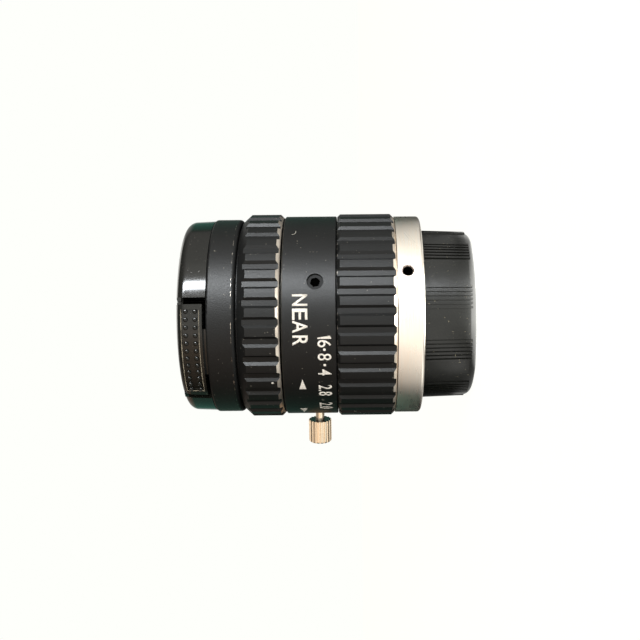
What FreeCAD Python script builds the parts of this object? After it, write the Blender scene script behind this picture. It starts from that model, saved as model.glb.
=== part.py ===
import FreeCAD, Part
import math
import os
import re

import Sketcher

# Machine vision lens with a C mount, standing on its rear cap.
# The optical axis is +Z, the flange face of the mount lies in z = 0, and the
# front of the lens points up. Azimuth 0 faces -Y and grows towards -X.

doc = FreeCAD.newDocument("machine_vision_lens")
sheet = doc.addObject("Spreadsheet::Sheet", "dims")

# Driving dimensions in millimetres and degrees
DIMENSIONS = {
    # Mount
    "mount_len": 4.1, "mount_edge": 0.5, "mount_step": 0.1, "mount_wall": 1.3,
    "thread_rad": 12.7, "thread_len": 3.8, "thread_lead_in": 0.35,
    "relief_air": 0.18, "relief_depth": 0.2, "tube_seat_z": 1.2,
    "set_screw_rad": 1.0, "set_screw_rise": 1.35, "set_screw_len": 1.7,
    "set_screw_azimuth": -24.0, "screw_count": 3,
    # Main barrel: inner tube and outer shell in one piece
    "tube_inset": 0.1, "tube_wall": 1.3,
    "shell_len": 8.43, "shell_wall": 1.5, "shell_gap": 0.15,
    "shell_web": 2.4, "shell_edge": 0.15, "stop_lip": 1.0,
    "stop_lip_len": 1.0, "lock_hole_azimuth": -18.0, "lock_hole_rad": 1.3,
    "lock_hole_rise": 3.23,
    # Ribbed rings
    "rib_proud": 0.35, "ring_gap": 0.12, "iris_ring_len": 9.23,
    "iris_chamfer": 0.55, "iris_front_chamfer": 0.45,
    "skirt_wall": 0.9, "skirt_len": 5.75, "focus_gap": 0.25,
    "focus_len": 6.6, "focus_chamfer": 0.6, "focus_nose_len": 1.3,
    "focus_nose_wall": 0.35, "recess_gap": 0.15, "focus_bore_len": 3.6,
    "rib_count": 35, "rib_depth": 0.4, "rib_floor": 0.85, "rib_mouth": 1.75,
    "focus_rib_azimuth": 3.8, "iris_rib_azimuth": -2.0,
    "running_gap": 0.05,
    # Focus drive
    "focus_turn": 200.0, "focus_travel": 1.6, "cam_pin_rad": 0.6,
    "cam_pin_azimuth": 90.0, "cam_pin_rise": 1.15, "cam_groove_depth": 0.85,
    "cam_gap": 0.04, "keeper_wall": 0.6, "keeper_len": 0.95,
    # Front barrel
    "front_gap": 0.2, "front_step": 0.45, "front_len": 4.5,
    "front_edge": 0.35, "front_back_edge": 0.65, "front_web": 2.05,
    "filter_wall": 1.05, "skirt_air": 0.1, "front_skirt_wall": 0.55,
    "front_skirt_len": 2.3, "sleeve_wall": 1.25, "sleeve_len": 11.55,
    "sleeve_lip": 0.8, "sleeve_lip_width": 1.0,
    # Iris
    "iris_turn": 52.0, "drive_pin_azimuth": -78.75,
    "drive_pin_rad": 0.5, "drive_pin_depth": 1.35, "cell_head_len": 5.4,
    "housing_floor": 0.8, "housing_wall": 0.45, "stop_open_rad": 5.5,
    "blade_layer": 0.12, "blade_thick": 0.07, "blade_cover": 0.2,
    "blade_inset": 0.7, "blade_span": 104.0, "blade_count": 6,
    "pivot_inset": 1.55, "pivot_rad": 0.35, "lobe_rad": 0.95,
    "drive_lead": 18.0, "blade_swing": 26.7, "pin_gap": 0.06,
    "iris_air": 0.08, "actuator_len": 1.6, "actuator_bore_rad": 7.0,
    "keeper_ring_len": 0.4, "keeper_ring_bore_rad": 8.6,
    # Lens groups, with the curvature radius of each glass surface
    "front_glass_front_curve": 30.0, "front_glass_back_curve": 60.0,
    "middle_glass_front_curve": 35.0, "middle_glass_back_curve": 50.0,
    "inner_glass_back_curve": 40.0, "outer_glass_front_curve": 25.0,
    "outer_glass_back_curve": 60.0, "rear_glass_front_curve": 30.0,
    "rear_glass_back_curve": 50.0, "spanner_slot_half": 4.0,
    "spanner_slot_depth": 0.5,
    "glass_gap": 0.05, "front_glass_edge": 3.2, "middle_glass_edge": 2.0,
    "inner_glass_edge": 2.3, "inner_spacer_len": 1.6, "front_spacer_len": 2.2,
    "spacer_wall": 0.8, "front_lock_step": 0.6, "front_lock_len": 1.1,
    "cell_wall": 1.75, "cell_sink": 0.6, "cell_lip": 0.8,
    "cell_lip_width": 0.8, "outer_glass_edge": 2.2, "rear_spacer_len": 2.6,
    "rear_glass_edge": 2.0, "rear_lock_len": 1.1,
    # Lock screw
    "lock_azimuth": 102.0, "neck_rad": 0.75, "knob_rad": 1.95,
    "knob_gap": 1.95, "knob_len": 3.9, "knob_edge": 0.35,
    "flute_count": 18, "flute_rad": 0.2, "tip_gap": 0.1,
    "socket_share": 0.62, "grub_len": 1.1, "socket_depth": 0.7,
    "shell_air": 0.05,
    # Front cap
    "cap_gap": 0.05, "cap_len": 4.6, "cap_step": 0.2, "cap_taper": 0.2,
    "cap_edge": 1.5, "cap_top": 0.9, "spigot_wall": 0.85,
    "spigot_gap": 0.15, "spigot_len": 1.7, "boss_rad": 2.6,
    "latch_azimuth": 23.0, "notch_half": 33.3, "notch_sink": 1.1,
    "pad_side_gap": 3.8, "pad_gap": 0.5,
    "claw_inset": 14.5, "claw_gap": 0.1, "tongue_half": 5.0,
    "spring_room": 4.3, "tongue_root": 0.3, "slot_air": 0.2, "back_plate": 0.8,
    "back_plate_sink": 0.5, "panel_side_margin": 3.0, "panel_margin": 0.5,
    "panel_front_margin": 0.95, "panel_depth": 0.28, "dot_rad": 0.33, "dot_height": 0.2,
    "dot_rows": 12, "dot_side_margin": 1.0, "dot_pitch": 1.45,
    "spring_rad": 1.05, "spring_wire": 0.18, "spring_turns": 4, "wire_sides": 8,
    # Rear cap
    "rear_cap_air": 0.58, "rear_cap_wall": 0.52, "rear_cap_taper": 0.25,
    "rear_cap_len": 8.35, "rear_cap_gap": 0.05, "rear_cap_floor": 1.2,
    "rear_cap_edge": 1.2, "grip_height": 0.22, "grip_width": 0.36,
    "grip_count": 6, "grip_span": 13.8, "grip_groups": 10,
    "grip_azimuth": -11.0, "grip_end": 0.85,
    "grip_rim": 0.25,
    # How far a cutting shape runs past the solid
    "cut_past": 1.0,
}

for row, (alias, value) in enumerate(DIMENSIONS.items(), start=1):
    sheet.set(f"A{row}", alias)
    sheet.set(f"B{row}", str(value))
    sheet.setAlias(f"B{row}", alias)
doc.recompute()

# Heights along the axis, each built on the piece below it
SET_SCREW_Z = "(tube_seat_z + set_screw_rise)"
MOUNT_FRONT = "mount_len"
IRIS_BACK = f"({MOUNT_FRONT} + ring_gap)"
IRIS_FRONT = f"({IRIS_BACK} + iris_ring_len)"
SHELL_BACK = f"({IRIS_FRONT} + ring_gap)"
SHELL_FRONT = f"({SHELL_BACK} + shell_len)"
SKIRT_TOP = f"({IRIS_FRONT} + skirt_len)"
WEB_BACK = f"({SHELL_FRONT} - shell_web)"
LOCK_HOLE_Z = f"({SHELL_BACK} + lock_hole_rise)"
FOCUS_BACK = f"({SHELL_FRONT} + focus_gap)"
FOCUS_FLOOR = f"({FOCUS_BACK} + focus_bore_len)"
FOCUS_FRONT = f"({FOCUS_BACK} + focus_len)"
CAM_PIN_Z = f"({FOCUS_BACK} + cam_pin_rise)"
FRONT_BACK = f"({FOCUS_FRONT} + front_gap)"
FRONT_FLOOR = f"({FRONT_BACK} + front_web)"
FRONT_FRONT = f"({FRONT_BACK} + front_len)"
TUBE_FRONT = FOCUS_FRONT
CAP_BACK = f"({FRONT_FRONT} + cap_gap)"
CAP_FRONT = f"({CAP_BACK} + cap_len)"
CAP_INSIDE = f"({CAP_FRONT} - cap_top)"

CELL_BACK = "(cell_sink - thread_len)"
CELL_FRONT = "(tube_seat_z + cell_head_len)"
BLADE_FLOOR = f"({CELL_FRONT} + housing_floor + iris_air)"
ACTUATOR_BACK = f"({BLADE_FLOOR} + blade_count * blade_layer + iris_air)"
ACTUATOR_FRONT = f"({ACTUATOR_BACK} + actuator_len)"
HOUSING_RIM = f"({ACTUATOR_FRONT} + iris_air)"
LIP_BACK = f"({HOUSING_RIM} + keeper_ring_len)"
DRIVE_PIN_Z = f"({ACTUATOR_BACK} + actuator_len / 2)"

SLEEVE_BACK = f"({FRONT_BACK} - sleeve_len)"
GLASS_START = f"({SLEEVE_BACK} + sleeve_lip)"
INNER_GLASS_TOP = f"({GLASS_START} + inner_glass_edge)"
MIDDLE_GLASS_BACK = f"({INNER_GLASS_TOP} + inner_spacer_len)"
MIDDLE_GLASS_TOP = f"({MIDDLE_GLASS_BACK} + middle_glass_edge)"
FRONT_GLASS_BACK = f"({MIDDLE_GLASS_TOP} + front_spacer_len)"
FRONT_GLASS_TOP = f"({FRONT_GLASS_BACK} + front_glass_edge)"
OUTER_GLASS_BACK = f"({CELL_BACK} + cell_lip)"
OUTER_GLASS_TOP = f"({OUTER_GLASS_BACK} + outer_glass_edge)"
REAR_GLASS_BACK = f"({OUTER_GLASS_TOP} + rear_spacer_len)"
REAR_GLASS_TOP = f"({REAR_GLASS_BACK} + rear_glass_edge)"

SPIGOT_BACK = f"({CAP_BACK} - spigot_len)"
BACK_PLATE_BACK = f"({CAP_BACK} - back_plate_sink)"
BACK_PLATE_FRONT = f"({BACK_PLATE_BACK} + back_plate)"
PAD_BACK = f"({CAP_BACK} + pad_gap)"
TONGUE_BACK = f"({BACK_PLATE_FRONT} + slot_air)"
TONGUE_FRONT = f"({CAP_INSIDE} - slot_air)"
REAR_RIM = "(-rear_cap_gap)"
REAR_END = f"({REAR_RIM} - rear_cap_len)"

# Radii, each built on the piece inside it
MOUNT_BORE = "(thread_rad - mount_wall)"
TUBE_BORE = "(thread_rad - tube_inset)"
TUBE_RAD = f"({TUBE_BORE} + tube_wall)"
RING_BORE = f"({TUBE_RAD} + running_gap)"
SKIRT_RAD = f"({RING_BORE} + skirt_wall)"
SHELL_IN = f"({SKIRT_RAD} + shell_gap)"
BARREL_RAD = f"({SHELL_IN} + shell_wall)"
RING_RAD = f"({BARREL_RAD} + rib_proud)"
MOUNT_RAD = f"({BARREL_RAD} - mount_step)"
STOP_LIP_RAD = f"({TUBE_BORE} - stop_lip)"
REAR_CAP_BORE = "(thread_rad + rear_cap_air)"
REAR_CAP_RAD = f"({REAR_CAP_BORE} + rear_cap_wall)"
REAR_CAP_END_RAD = f"({REAR_CAP_RAD} - rear_cap_taper)"
RELIEF_RAD = f"({REAR_CAP_RAD} + grip_height + relief_air)"
KEEPER_RAD = f"({TUBE_RAD} + keeper_wall)"
FRONT_SKIRT_IN = f"({KEEPER_RAD} + skirt_air)"
FRONT_SKIRT_RAD = f"({FRONT_SKIRT_IN} + front_skirt_wall)"
FOCUS_RECESS_RAD = f"({FRONT_SKIRT_RAD} + recess_gap)"
FOCUS_NOSE_RAD = f"({FOCUS_RECESS_RAD} + focus_nose_wall)"
FRONT_RAD = f"({BARREL_RAD} - front_step)"
FILTER_RAD = f"({FRONT_RAD} - filter_wall)"
CAP_RAD = f"({FRONT_RAD} - cap_step)"
CAP_FRONT_RAD = f"({CAP_RAD} - cap_taper)"
SPIGOT_RAD = f"({FILTER_RAD} - spigot_gap)"
CAP_WALL_RAD = f"({SPIGOT_RAD} - spigot_wall)"
NOTCH_FLOOR_RAD = f"({CAP_WALL_RAD} - notch_sink)"
PAD_HALF = "(notch_half - pad_side_gap)"
PANEL_HALF = f"({PAD_HALF} - panel_side_margin)"
CLAW_HALF = f"({PAD_HALF} - claw_inset)"
DOT_SPAN = f"(2 * {PANEL_HALF} - 2 * dot_side_margin)"
TONGUE_IN_RAD = "(boss_rad + spring_room)"
SLEEVE_RAD = f"({TUBE_BORE} - running_gap)"
SLEEVE_BORE = f"({SLEEVE_RAD} - sleeve_wall)"
SLEEVE_LIP_RAD = f"({SLEEVE_BORE} - sleeve_lip_width)"
GLASS_RAD = f"({SLEEVE_BORE} - glass_gap)"
FRONT_LOCK_RAD = f"({SLEEVE_BORE} + front_lock_step)"
CELL_NECK_RAD = f"({MOUNT_BORE} - glass_gap)"
CELL_BORE = f"({CELL_NECK_RAD} - cell_wall)"
CELL_LIP_RAD = f"({CELL_BORE} - cell_lip_width)"
REAR_GLASS_RAD = f"({CELL_BORE} - glass_gap)"
CAM_GROOVE_RAD = f"({RING_BORE} + cam_groove_depth)"
HOUSING_BORE = f"({TUBE_BORE} - housing_wall)"
PIVOT_CIRCLE_RAD = f"({HOUSING_BORE} - pivot_inset)"
BLADE_OUT_RAD = f"({PIVOT_CIRCLE_RAD} - blade_inset)"
BLADE_IN_RAD = "(stop_open_rad + blade_cover)"
KNOB_START = f"({BARREL_RAD} + knob_gap)"

# Two lengths closer than this count as the same edge
SAME = 0.01

# Things that come in twos, on opposite sides
PAIR = "2"

ALIASES = re.compile(r"\b(" + "|".join(DIMENSIONS) + r")\b")


def bound(text):
    """The text of a formula with its dimension names pointed at the sheet."""
    return ALIASES.sub(r"dims.\1", str(text))


def size(text):
    """The present value of a formula."""
    return float(sheet.evalExpression(bound(text)))


# Helpers that make the features of a body

def origin_plane(body, role):
    """One of the planes or axes of the body's own origin."""
    return next(item for item in body.Origin.OriginFeatures if item.Role == role)


def new_body(label):
    body = doc.addObject("PartDesign::Body", label)
    body.Label = label
    return body


def new_sketch(body, name, role="XZ_Plane", turn="0", start="0"):
    """A sketch on an origin plane, turned about the plane's upright and moved off it."""
    sketch = body.newObject("Sketcher::SketchObject", name)
    sketch.AttachmentSupport = (origin_plane(body, role), "")
    sketch.MapMode = "FlatFace"
    upright = FreeCAD.Vector(0, 1, 0)
    offset = FreeCAD.Vector(0, 0, 1)
    turned = FreeCAD.Rotation(upright, size(turn))
    sketch.AttachmentOffset = FreeCAD.Placement(turned.multVec(offset * size(start)), turned)
    if turn != "0":
        sketch.setExpression("AttachmentOffset.Rotation.Angle", bound(f"({turn}) * 1deg"))
    if start != "0":
        sketch.setExpression("AttachmentOffset.Base.x", bound(f"({start}) * sin(({turn}) * 1deg)"))
        sketch.setExpression("AttachmentOffset.Base.z", bound(f"({start}) * cos(({turn}) * 1deg)"))
    return sketch


def section_sketch(body, name, azimuth=None):
    """A sketch of radius against height, in the half plane at an azimuth."""
    turn = "0" if azimuth is None else f"-90 - ({azimuth})"
    return new_sketch(body, name, turn=turn)


def facing_sketch(body, name, azimuth, start="0"):
    """A sketch that faces outwards at an azimuth, at a distance from the axis."""
    return new_sketch(body, name, turn=f"-({azimuth})", start=start)


def bind_point(sketch, line, corner, across, up):
    """Fix one end of a line at two formulas, measured from the origin."""
    horizontal, vertical, centre = -1, -2, -1
    if across == "0":
        sketch.addConstraint(Sketcher.Constraint("PointOnObject", line, corner, vertical))
    else:
        index = sketch.addConstraint(
            Sketcher.Constraint("DistanceX", centre, 1, line, corner, size(across)))
        sketch.setExpression(f"Constraints[{index}]", bound(across))
    if up == "0":
        sketch.addConstraint(Sketcher.Constraint("PointOnObject", line, corner, horizontal))
    else:
        index = sketch.addConstraint(
            Sketcher.Constraint("DistanceY", centre, 1, line, corner, size(up)))
        sketch.setExpression(f"Constraints[{index}]", bound(up))


def draw_outline(sketch, corners):
    """A closed outline of straight lines through corners given as formulas."""
    places = [FreeCAD.Vector(size(across), size(up), 0) for across, up in corners]
    lines = []
    for index, place in enumerate(places):
        following = places[(index + 1) % len(places)]
        lines.append(sketch.addGeometry(Part.LineSegment(place, following), False))
    for index, line in enumerate(lines):
        following = lines[(index + 1) % len(lines)]
        sketch.addConstraint(Sketcher.Constraint("Coincident", line, 2, following, 1))
    for line, (across, up) in zip(lines, corners):
        bind_point(sketch, line, 1, across, up)


def draw_circle(sketch, across, up, radius):
    """A circle with a bound centre and radius."""
    place = FreeCAD.Vector(size(across), size(up), 0)
    circle = sketch.addGeometry(Part.Circle(place, FreeCAD.Vector(0, 0, 1), size(radius)), False)
    bind_point(sketch, circle, 3, across, up)
    index = sketch.addConstraint(Sketcher.Constraint("Radius", circle, size(radius)))
    sketch.setExpression(f"Constraints[{index}]", bound(radius))


def present_volume(body):
    """Volume of a body as it stands."""
    doc.recompute()
    return body.Shape.Volume


def prove_cut(body, before, name):
    """Stop when a cut has taken nothing away."""
    if present_volume(body) >= before:
        raise RuntimeError(f"{body.Label}: {name} cuts nothing")


def revolve(body, sketch, name, kind="Revolution", angle=None):
    """Turn a section about the lens axis, or cut with it, over a full turn or an angle."""
    before = present_volume(body) if kind == "Groove" else None
    feature = body.newObject(f"PartDesign::{kind}", name)
    feature.Profile = sketch
    feature.ReferenceAxis = (origin_plane(body, "Z_Axis"), [""])
    feature.Angle = 360.0
    if angle is not None:
        feature.Midplane = True
        feature.setExpression("Angle", bound(angle))
    body.Tip = feature
    if before is not None:
        prove_cut(body, before, name)
    return feature


def extrude(body, sketch, name, length=None, kind="Pad", outward=True, both=False):
    """Raise or cut a sketch along its normal, by a length or through everything."""
    before = present_volume(body) if kind == "Pocket" else None
    feature = body.newObject(f"PartDesign::{kind}", name)
    feature.Profile = sketch
    feature.Midplane = both
    feature.Reversed = (kind == "Pocket") == outward
    if length is None:
        feature.Type = "ThroughAll"
    else:
        feature.setExpression("Length", bound(length))
    body.Tip = feature
    if before is not None:
        prove_cut(body, before, name)
    return feature


def polar_pattern(body, feature, name, count, span="360"):
    """Copies of a feature about the lens axis."""
    pattern = body.newObject("PartDesign::PolarPattern", name)
    pattern.Originals = [feature]
    pattern.Axis = (origin_plane(body, "Z_Axis"), [""])
    pattern.setExpression("Angle", bound(f"({span}) * 1deg"))
    pattern.setExpression("Occurrences", bound(count))
    body.Tip = pattern
    return pattern


def height_of(centre):
    return centre.z


def reach_of(centre):
    return math.hypot(centre.x, centre.y)


def round_edges(body, name, radius, *places, measure=height_of):
    """Round the circular edges of a given radius whose centres lie at a given measure."""
    doc.recompute()
    base = body.Tip
    picked = []
    for index, edge in enumerate(base.Shape.Edges, start=1):
        if not hasattr(edge.Curve, "Radius"):
            continue
        for across, place in places:
            apart = abs(measure(edge.Curve.Center) - size(place))
            if abs(edge.Curve.Radius - size(across)) < SAME and apart < SAME:
                picked.append(f"Edge{index}")
    if not picked:
        raise RuntimeError(f"{body.Label}: no edge to round for {name}")
    fillet = body.newObject("PartDesign::Fillet", name)
    fillet.Base = (base, picked)
    fillet.setExpression("Radius", bound(radius))
    body.Tip = fillet
    return fillet


def turned_piece(label, corners):
    """A piece of turned stock with one section all round."""
    body = new_body(label)
    sketch = section_sketch(body, f"{label}_section")
    draw_outline(sketch, corners)
    revolve(body, sketch, f"{label}_turning")
    return body


def ring(label, inner, outer, back, front):
    """A plain ring between two radii and two heights."""
    return turned_piece(label, [(inner, back), (outer, back), (outer, front), (inner, front)])


def radial_hole(body, name, azimuth, height, radius, start="0", length=None):
    """A round hole that runs outwards at an azimuth."""
    sketch = facing_sketch(body, f"{name}_sketch", azimuth, start)
    draw_circle(sketch, "0", height, radius)
    return extrude(body, sketch, name, length, kind="Pocket")


def radial_pin(label, azimuth, height, radius, start, length):
    """A round pin that runs outwards at an azimuth."""
    body = new_body(label)
    sketch = facing_sketch(body, f"{label}_sketch", azimuth, start)
    draw_circle(sketch, "0", height, radius)
    extrude(body, sketch, f"{label}_pad", length)
    return body


def rib_grooves(body, azimuth):
    """Trapezoid grip grooves along the whole length of a ring, one of them at an azimuth."""
    sketch = new_sketch(body, f"{body.Label}_groove", "XY_Plane")
    turn = f"-90 - ({azimuth})"
    sketch.AttachmentOffset = FreeCAD.Placement(
        FreeCAD.Vector(), FreeCAD.Rotation(FreeCAD.Vector(0, 0, 1), size(turn)))
    sketch.setExpression("AttachmentOffset.Rotation.Angle", bound(f"({turn}) * 1deg"))
    floor = f"{RING_RAD} - rib_depth"
    clear = f"{RING_RAD} + rib_depth"
    flare = "(rib_mouth - rib_floor) / 2"
    draw_outline(sketch, [
        (floor, "-rib_floor / 2"), (clear, f"-rib_floor / 2 - 2 * {flare}"),
        (clear, f"rib_floor / 2 + 2 * {flare}"), (floor, "rib_floor / 2")])
    groove = extrude(body, sketch, f"{body.Label}_groove_cut", kind="Pocket", both=True)
    return polar_pattern(body, groove, f"{body.Label}_grooves", "rib_count")


# Pieces that stay still: mount, main barrel and rear cell

def make_mount():
    """Bright ring with the flange face and the 1 inch thread on its back."""
    body = turned_piece("mount", [
        (MOUNT_BORE, "-thread_len"), ("thread_rad - thread_lead_in", "-thread_len"),
        ("thread_rad", "-thread_len + thread_lead_in"), ("thread_rad", "relief_depth"),
        (RELIEF_RAD, "relief_depth"), (RELIEF_RAD, "0"), (MOUNT_RAD, "0"),
        (MOUNT_RAD, MOUNT_FRONT), (TUBE_RAD, MOUNT_FRONT),
        (TUBE_RAD, "tube_seat_z"), (MOUNT_BORE, "tube_seat_z")])
    round_edges(body, "mount_back_edge", "mount_edge", (MOUNT_RAD, "0"))
    hole = radial_hole(body, "mount_screw_hole", "set_screw_azimuth", SET_SCREW_Z, "set_screw_rad")
    polar_pattern(body, hole, "mount_screw_holes", "screw_count")
    return body


def make_main_barrel():
    """Inner tube and outer shell, turned as one piece and joined by a web."""
    body = turned_piece("main_barrel", [
        (TUBE_BORE, "tube_seat_z"), (TUBE_RAD, "tube_seat_z"), (TUBE_RAD, WEB_BACK),
        (SHELL_IN, WEB_BACK), (SHELL_IN, SHELL_BACK), (f"{BARREL_RAD} - shell_edge", SHELL_BACK),
        (BARREL_RAD, f"{SHELL_BACK} + shell_edge"), (BARREL_RAD, f"{SHELL_FRONT} - shell_edge"),
        (f"{BARREL_RAD} - shell_edge", SHELL_FRONT), (TUBE_RAD, SHELL_FRONT),
        (TUBE_RAD, TUBE_FRONT), (TUBE_BORE, TUBE_FRONT),
        (TUBE_BORE, f"{LIP_BACK} + stop_lip_len"), (STOP_LIP_RAD, f"{LIP_BACK} + stop_lip_len"),
        (STOP_LIP_RAD, LIP_BACK), (TUBE_BORE, LIP_BACK)])
    hole = radial_hole(body, "lock_hole", "lock_hole_azimuth", LOCK_HOLE_Z,
                       "lock_hole_rad", start=TUBE_RAD)
    polar_pattern(body, hole, "lock_holes", "screw_count")
    key_slot = facing_sketch(body, "key_slot_sketch", "cam_pin_azimuth")
    half = "cam_pin_rad + cam_gap"
    draw_outline(key_slot, [
        (f"-({half})", f"{CAM_PIN_Z} - ({half})"), (half, f"{CAM_PIN_Z} - ({half})"),
        (half, f"{CAM_PIN_Z} + focus_travel + {half}"),
        (f"-({half})", f"{CAM_PIN_Z} + focus_travel + {half}")])
    extrude(body, key_slot, "key_slot", kind="Pocket")
    reach = "(drive_pin_rad + pin_gap)"
    drive_slot(body, "tube_slot", f"{TUBE_BORE} - cut_past", f"{TUBE_RAD} + cut_past",
               f"{DRIVE_PIN_Z} - {reach}", f"{DRIVE_PIN_Z} + {reach}")
    return body


def make_focus_keeper():
    """Ring on the tube that holds the focus ring back against the shell."""
    back = f"{FOCUS_FLOOR} + ring_gap"
    return ring("focus_keeper_ring", TUBE_RAD, KEEPER_RAD, back, f"{back} + keeper_len")


def make_rear_cell():
    """Stepped cell that carries the rear glasses and seats on the mount."""
    return turned_piece("rear_cell", [
        (CELL_LIP_RAD, CELL_BACK), (CELL_NECK_RAD, CELL_BACK),
        (CELL_NECK_RAD, "tube_seat_z"), (TUBE_BORE, "tube_seat_z"),
        (TUBE_BORE, CELL_FRONT), (CELL_BORE, CELL_FRONT),
        (CELL_BORE, OUTER_GLASS_BACK), (CELL_LIP_RAD, OUTER_GLASS_BACK)])


def outward(azimuth):
    """Unit vector that points away from the axis at an azimuth."""
    angle = math.radians(azimuth)
    return FreeCAD.Vector(-math.sin(angle), -math.cos(angle), 0)


def radial_placement(azimuth, height, start):
    """Placement whose own Z runs outwards at an azimuth."""
    away = outward(azimuth)
    base = away * start + FreeCAD.Vector(0, 0, height)
    return FreeCAD.Placement(base, FreeCAD.Rotation(FreeCAD.Vector(0, 0, 1), away))


def primitive(kind, name, placement=None, **sizes):
    """A Part primitive with its sizes bound to formulas."""
    item = doc.addObject(f"Part::{kind}", name)
    for prop, formula in sizes.items():
        item.setExpression(prop, bound(formula))
    if placement is not None:
        item.Placement = placement
    return item


def socket_screws(label, azimuths, height, radius, start, length):
    """Grub screws with a hexagon socket, pointing inwards at several azimuths."""
    screws = []
    for number, azimuth in enumerate(azimuths, start=1):
        shank = primitive("Cylinder", f"{label}_shank_{number}",
                          radial_placement(azimuth, size(height), size(start)),
                          Radius=radius, Height=length)
        floor = size(f"{start} + {length} - socket_depth")
        socket = primitive("Prism", f"{label}_socket_{number}",
                           radial_placement(azimuth, size(height), floor),
                           Circumradius=f"({radius}) * socket_share", Height="2 * socket_depth")
        socket.Polygon = 6
        screw = doc.addObject("Part::Cut", f"{label}_{number}")
        screw.Base = shank
        screw.Tool = socket
        screws.append(screw)
    group = doc.addObject("Part::Compound", label)
    group.Links = screws
    group.Label = label
    return group


def make_mount_screws():
    """Three set screws that clamp the barrel tube in the mount."""
    azimuths = [size(f"set_screw_azimuth + {number} * 360 / screw_count")
                for number in range(int(size("screw_count")))]
    return socket_screws("mount_set_screws", azimuths, SET_SCREW_Z, "set_screw_rad",
                         TUBE_RAD, "set_screw_len")


def make_grub_screws():
    """Two grub screws that fill the lock holes the thumb screw leaves free."""
    azimuths = [size("lock_hole_azimuth"), size("lock_hole_azimuth - 360 / screw_count")]
    return socket_screws("barrel_grub_screws", azimuths, LOCK_HOLE_Z, "lock_hole_rad",
                         f"{SKIRT_RAD} + tip_gap + shell_air", "grub_len")


# Focus ring and the front barrel that it drives

def make_focus_ring():
    """Ribbed ring whose bore holds the helical cam groove."""
    body = turned_piece("focus_ring", [
        (RING_BORE, FOCUS_BACK), (f"{RING_RAD} - focus_chamfer", FOCUS_BACK),
        (RING_RAD, f"{FOCUS_BACK} + focus_chamfer"), (RING_RAD, f"{FOCUS_FRONT} - focus_nose_len"),
        (FOCUS_NOSE_RAD, FOCUS_FRONT), (FOCUS_RECESS_RAD, FOCUS_FRONT),
        (FOCUS_RECESS_RAD, FOCUS_FLOOR), (RING_BORE, FOCUS_FLOOR)])
    half = "(cam_pin_rad + cam_gap)"
    lead = f"({half} / {RING_BORE} * 180 / pi)"
    drop = f"({lead} * focus_travel / focus_turn)"
    low = f"{CAM_PIN_Z} - {drop} - {half}"
    high = f"{CAM_PIN_Z} - {drop} + {half}"
    profile = section_sketch(body, "cam_groove_section", f"cam_pin_azimuth - {lead}")
    draw_outline(profile, [
        (f"{RING_BORE} - running_gap", low), (CAM_GROOVE_RAD, low),
        (CAM_GROOVE_RAD, high), (f"{RING_BORE} - running_gap", high)])
    before = present_volume(body)
    groove = body.newObject("PartDesign::SubtractiveHelix", "cam_groove")
    groove.Profile = profile
    groove.ReferenceAxis = (profile, ["V_Axis"])
    groove.Mode = "pitch-height-angle"
    groove.setExpression("Pitch", bound("focus_travel * 360 / focus_turn"))
    groove.setExpression("Height", bound(f"focus_travel + 2 * {drop}"))
    groove.LeftHanded = True
    body.Tip = groove
    prove_cut(body, before, "cam groove")
    rib_grooves(body, "focus_rib_azimuth")
    return body


def make_front_barrel():
    """Filter ring, sliding sleeve and dust skirt in one turned piece."""
    skirt_end = f"{FRONT_BACK} - front_skirt_len"
    body = turned_piece("front_barrel", [
        (SLEEVE_LIP_RAD, SLEEVE_BACK), (SLEEVE_RAD, SLEEVE_BACK),
        (SLEEVE_RAD, FRONT_BACK), (FRONT_SKIRT_IN, FRONT_BACK), (FRONT_SKIRT_IN, skirt_end),
        (FRONT_SKIRT_RAD, skirt_end), (FRONT_SKIRT_RAD, FRONT_BACK), (FRONT_RAD, FRONT_BACK),
        (FRONT_RAD, FRONT_FRONT), (FILTER_RAD, FRONT_FRONT), (FILTER_RAD, FRONT_FLOOR),
        (FRONT_LOCK_RAD, FRONT_FLOOR), (FRONT_LOCK_RAD, FRONT_GLASS_TOP),
        (SLEEVE_BORE, FRONT_GLASS_TOP), (SLEEVE_BORE, GLASS_START), (SLEEVE_LIP_RAD, GLASS_START)])
    round_edges(body, "front_rear_round", "front_back_edge", (FRONT_RAD, FRONT_BACK))
    round_edges(body, "front_rim_round", "front_edge", (FRONT_RAD, FRONT_FRONT))
    radial_hole(body, "cam_pin_hole", "cam_pin_azimuth", CAM_PIN_Z, "cam_pin_rad")
    return body


def make_cam_pin():
    """Pin that is held by the sleeve, guided by the tube slot and moved by the cam."""
    start = f"{SLEEVE_BORE} + running_gap"
    return radial_pin("focus_cam_pin", "cam_pin_azimuth", CAM_PIN_Z, "cam_pin_rad",
                      start, f"{CAM_GROOVE_RAD} - 2 * running_gap - ({start})")


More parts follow.
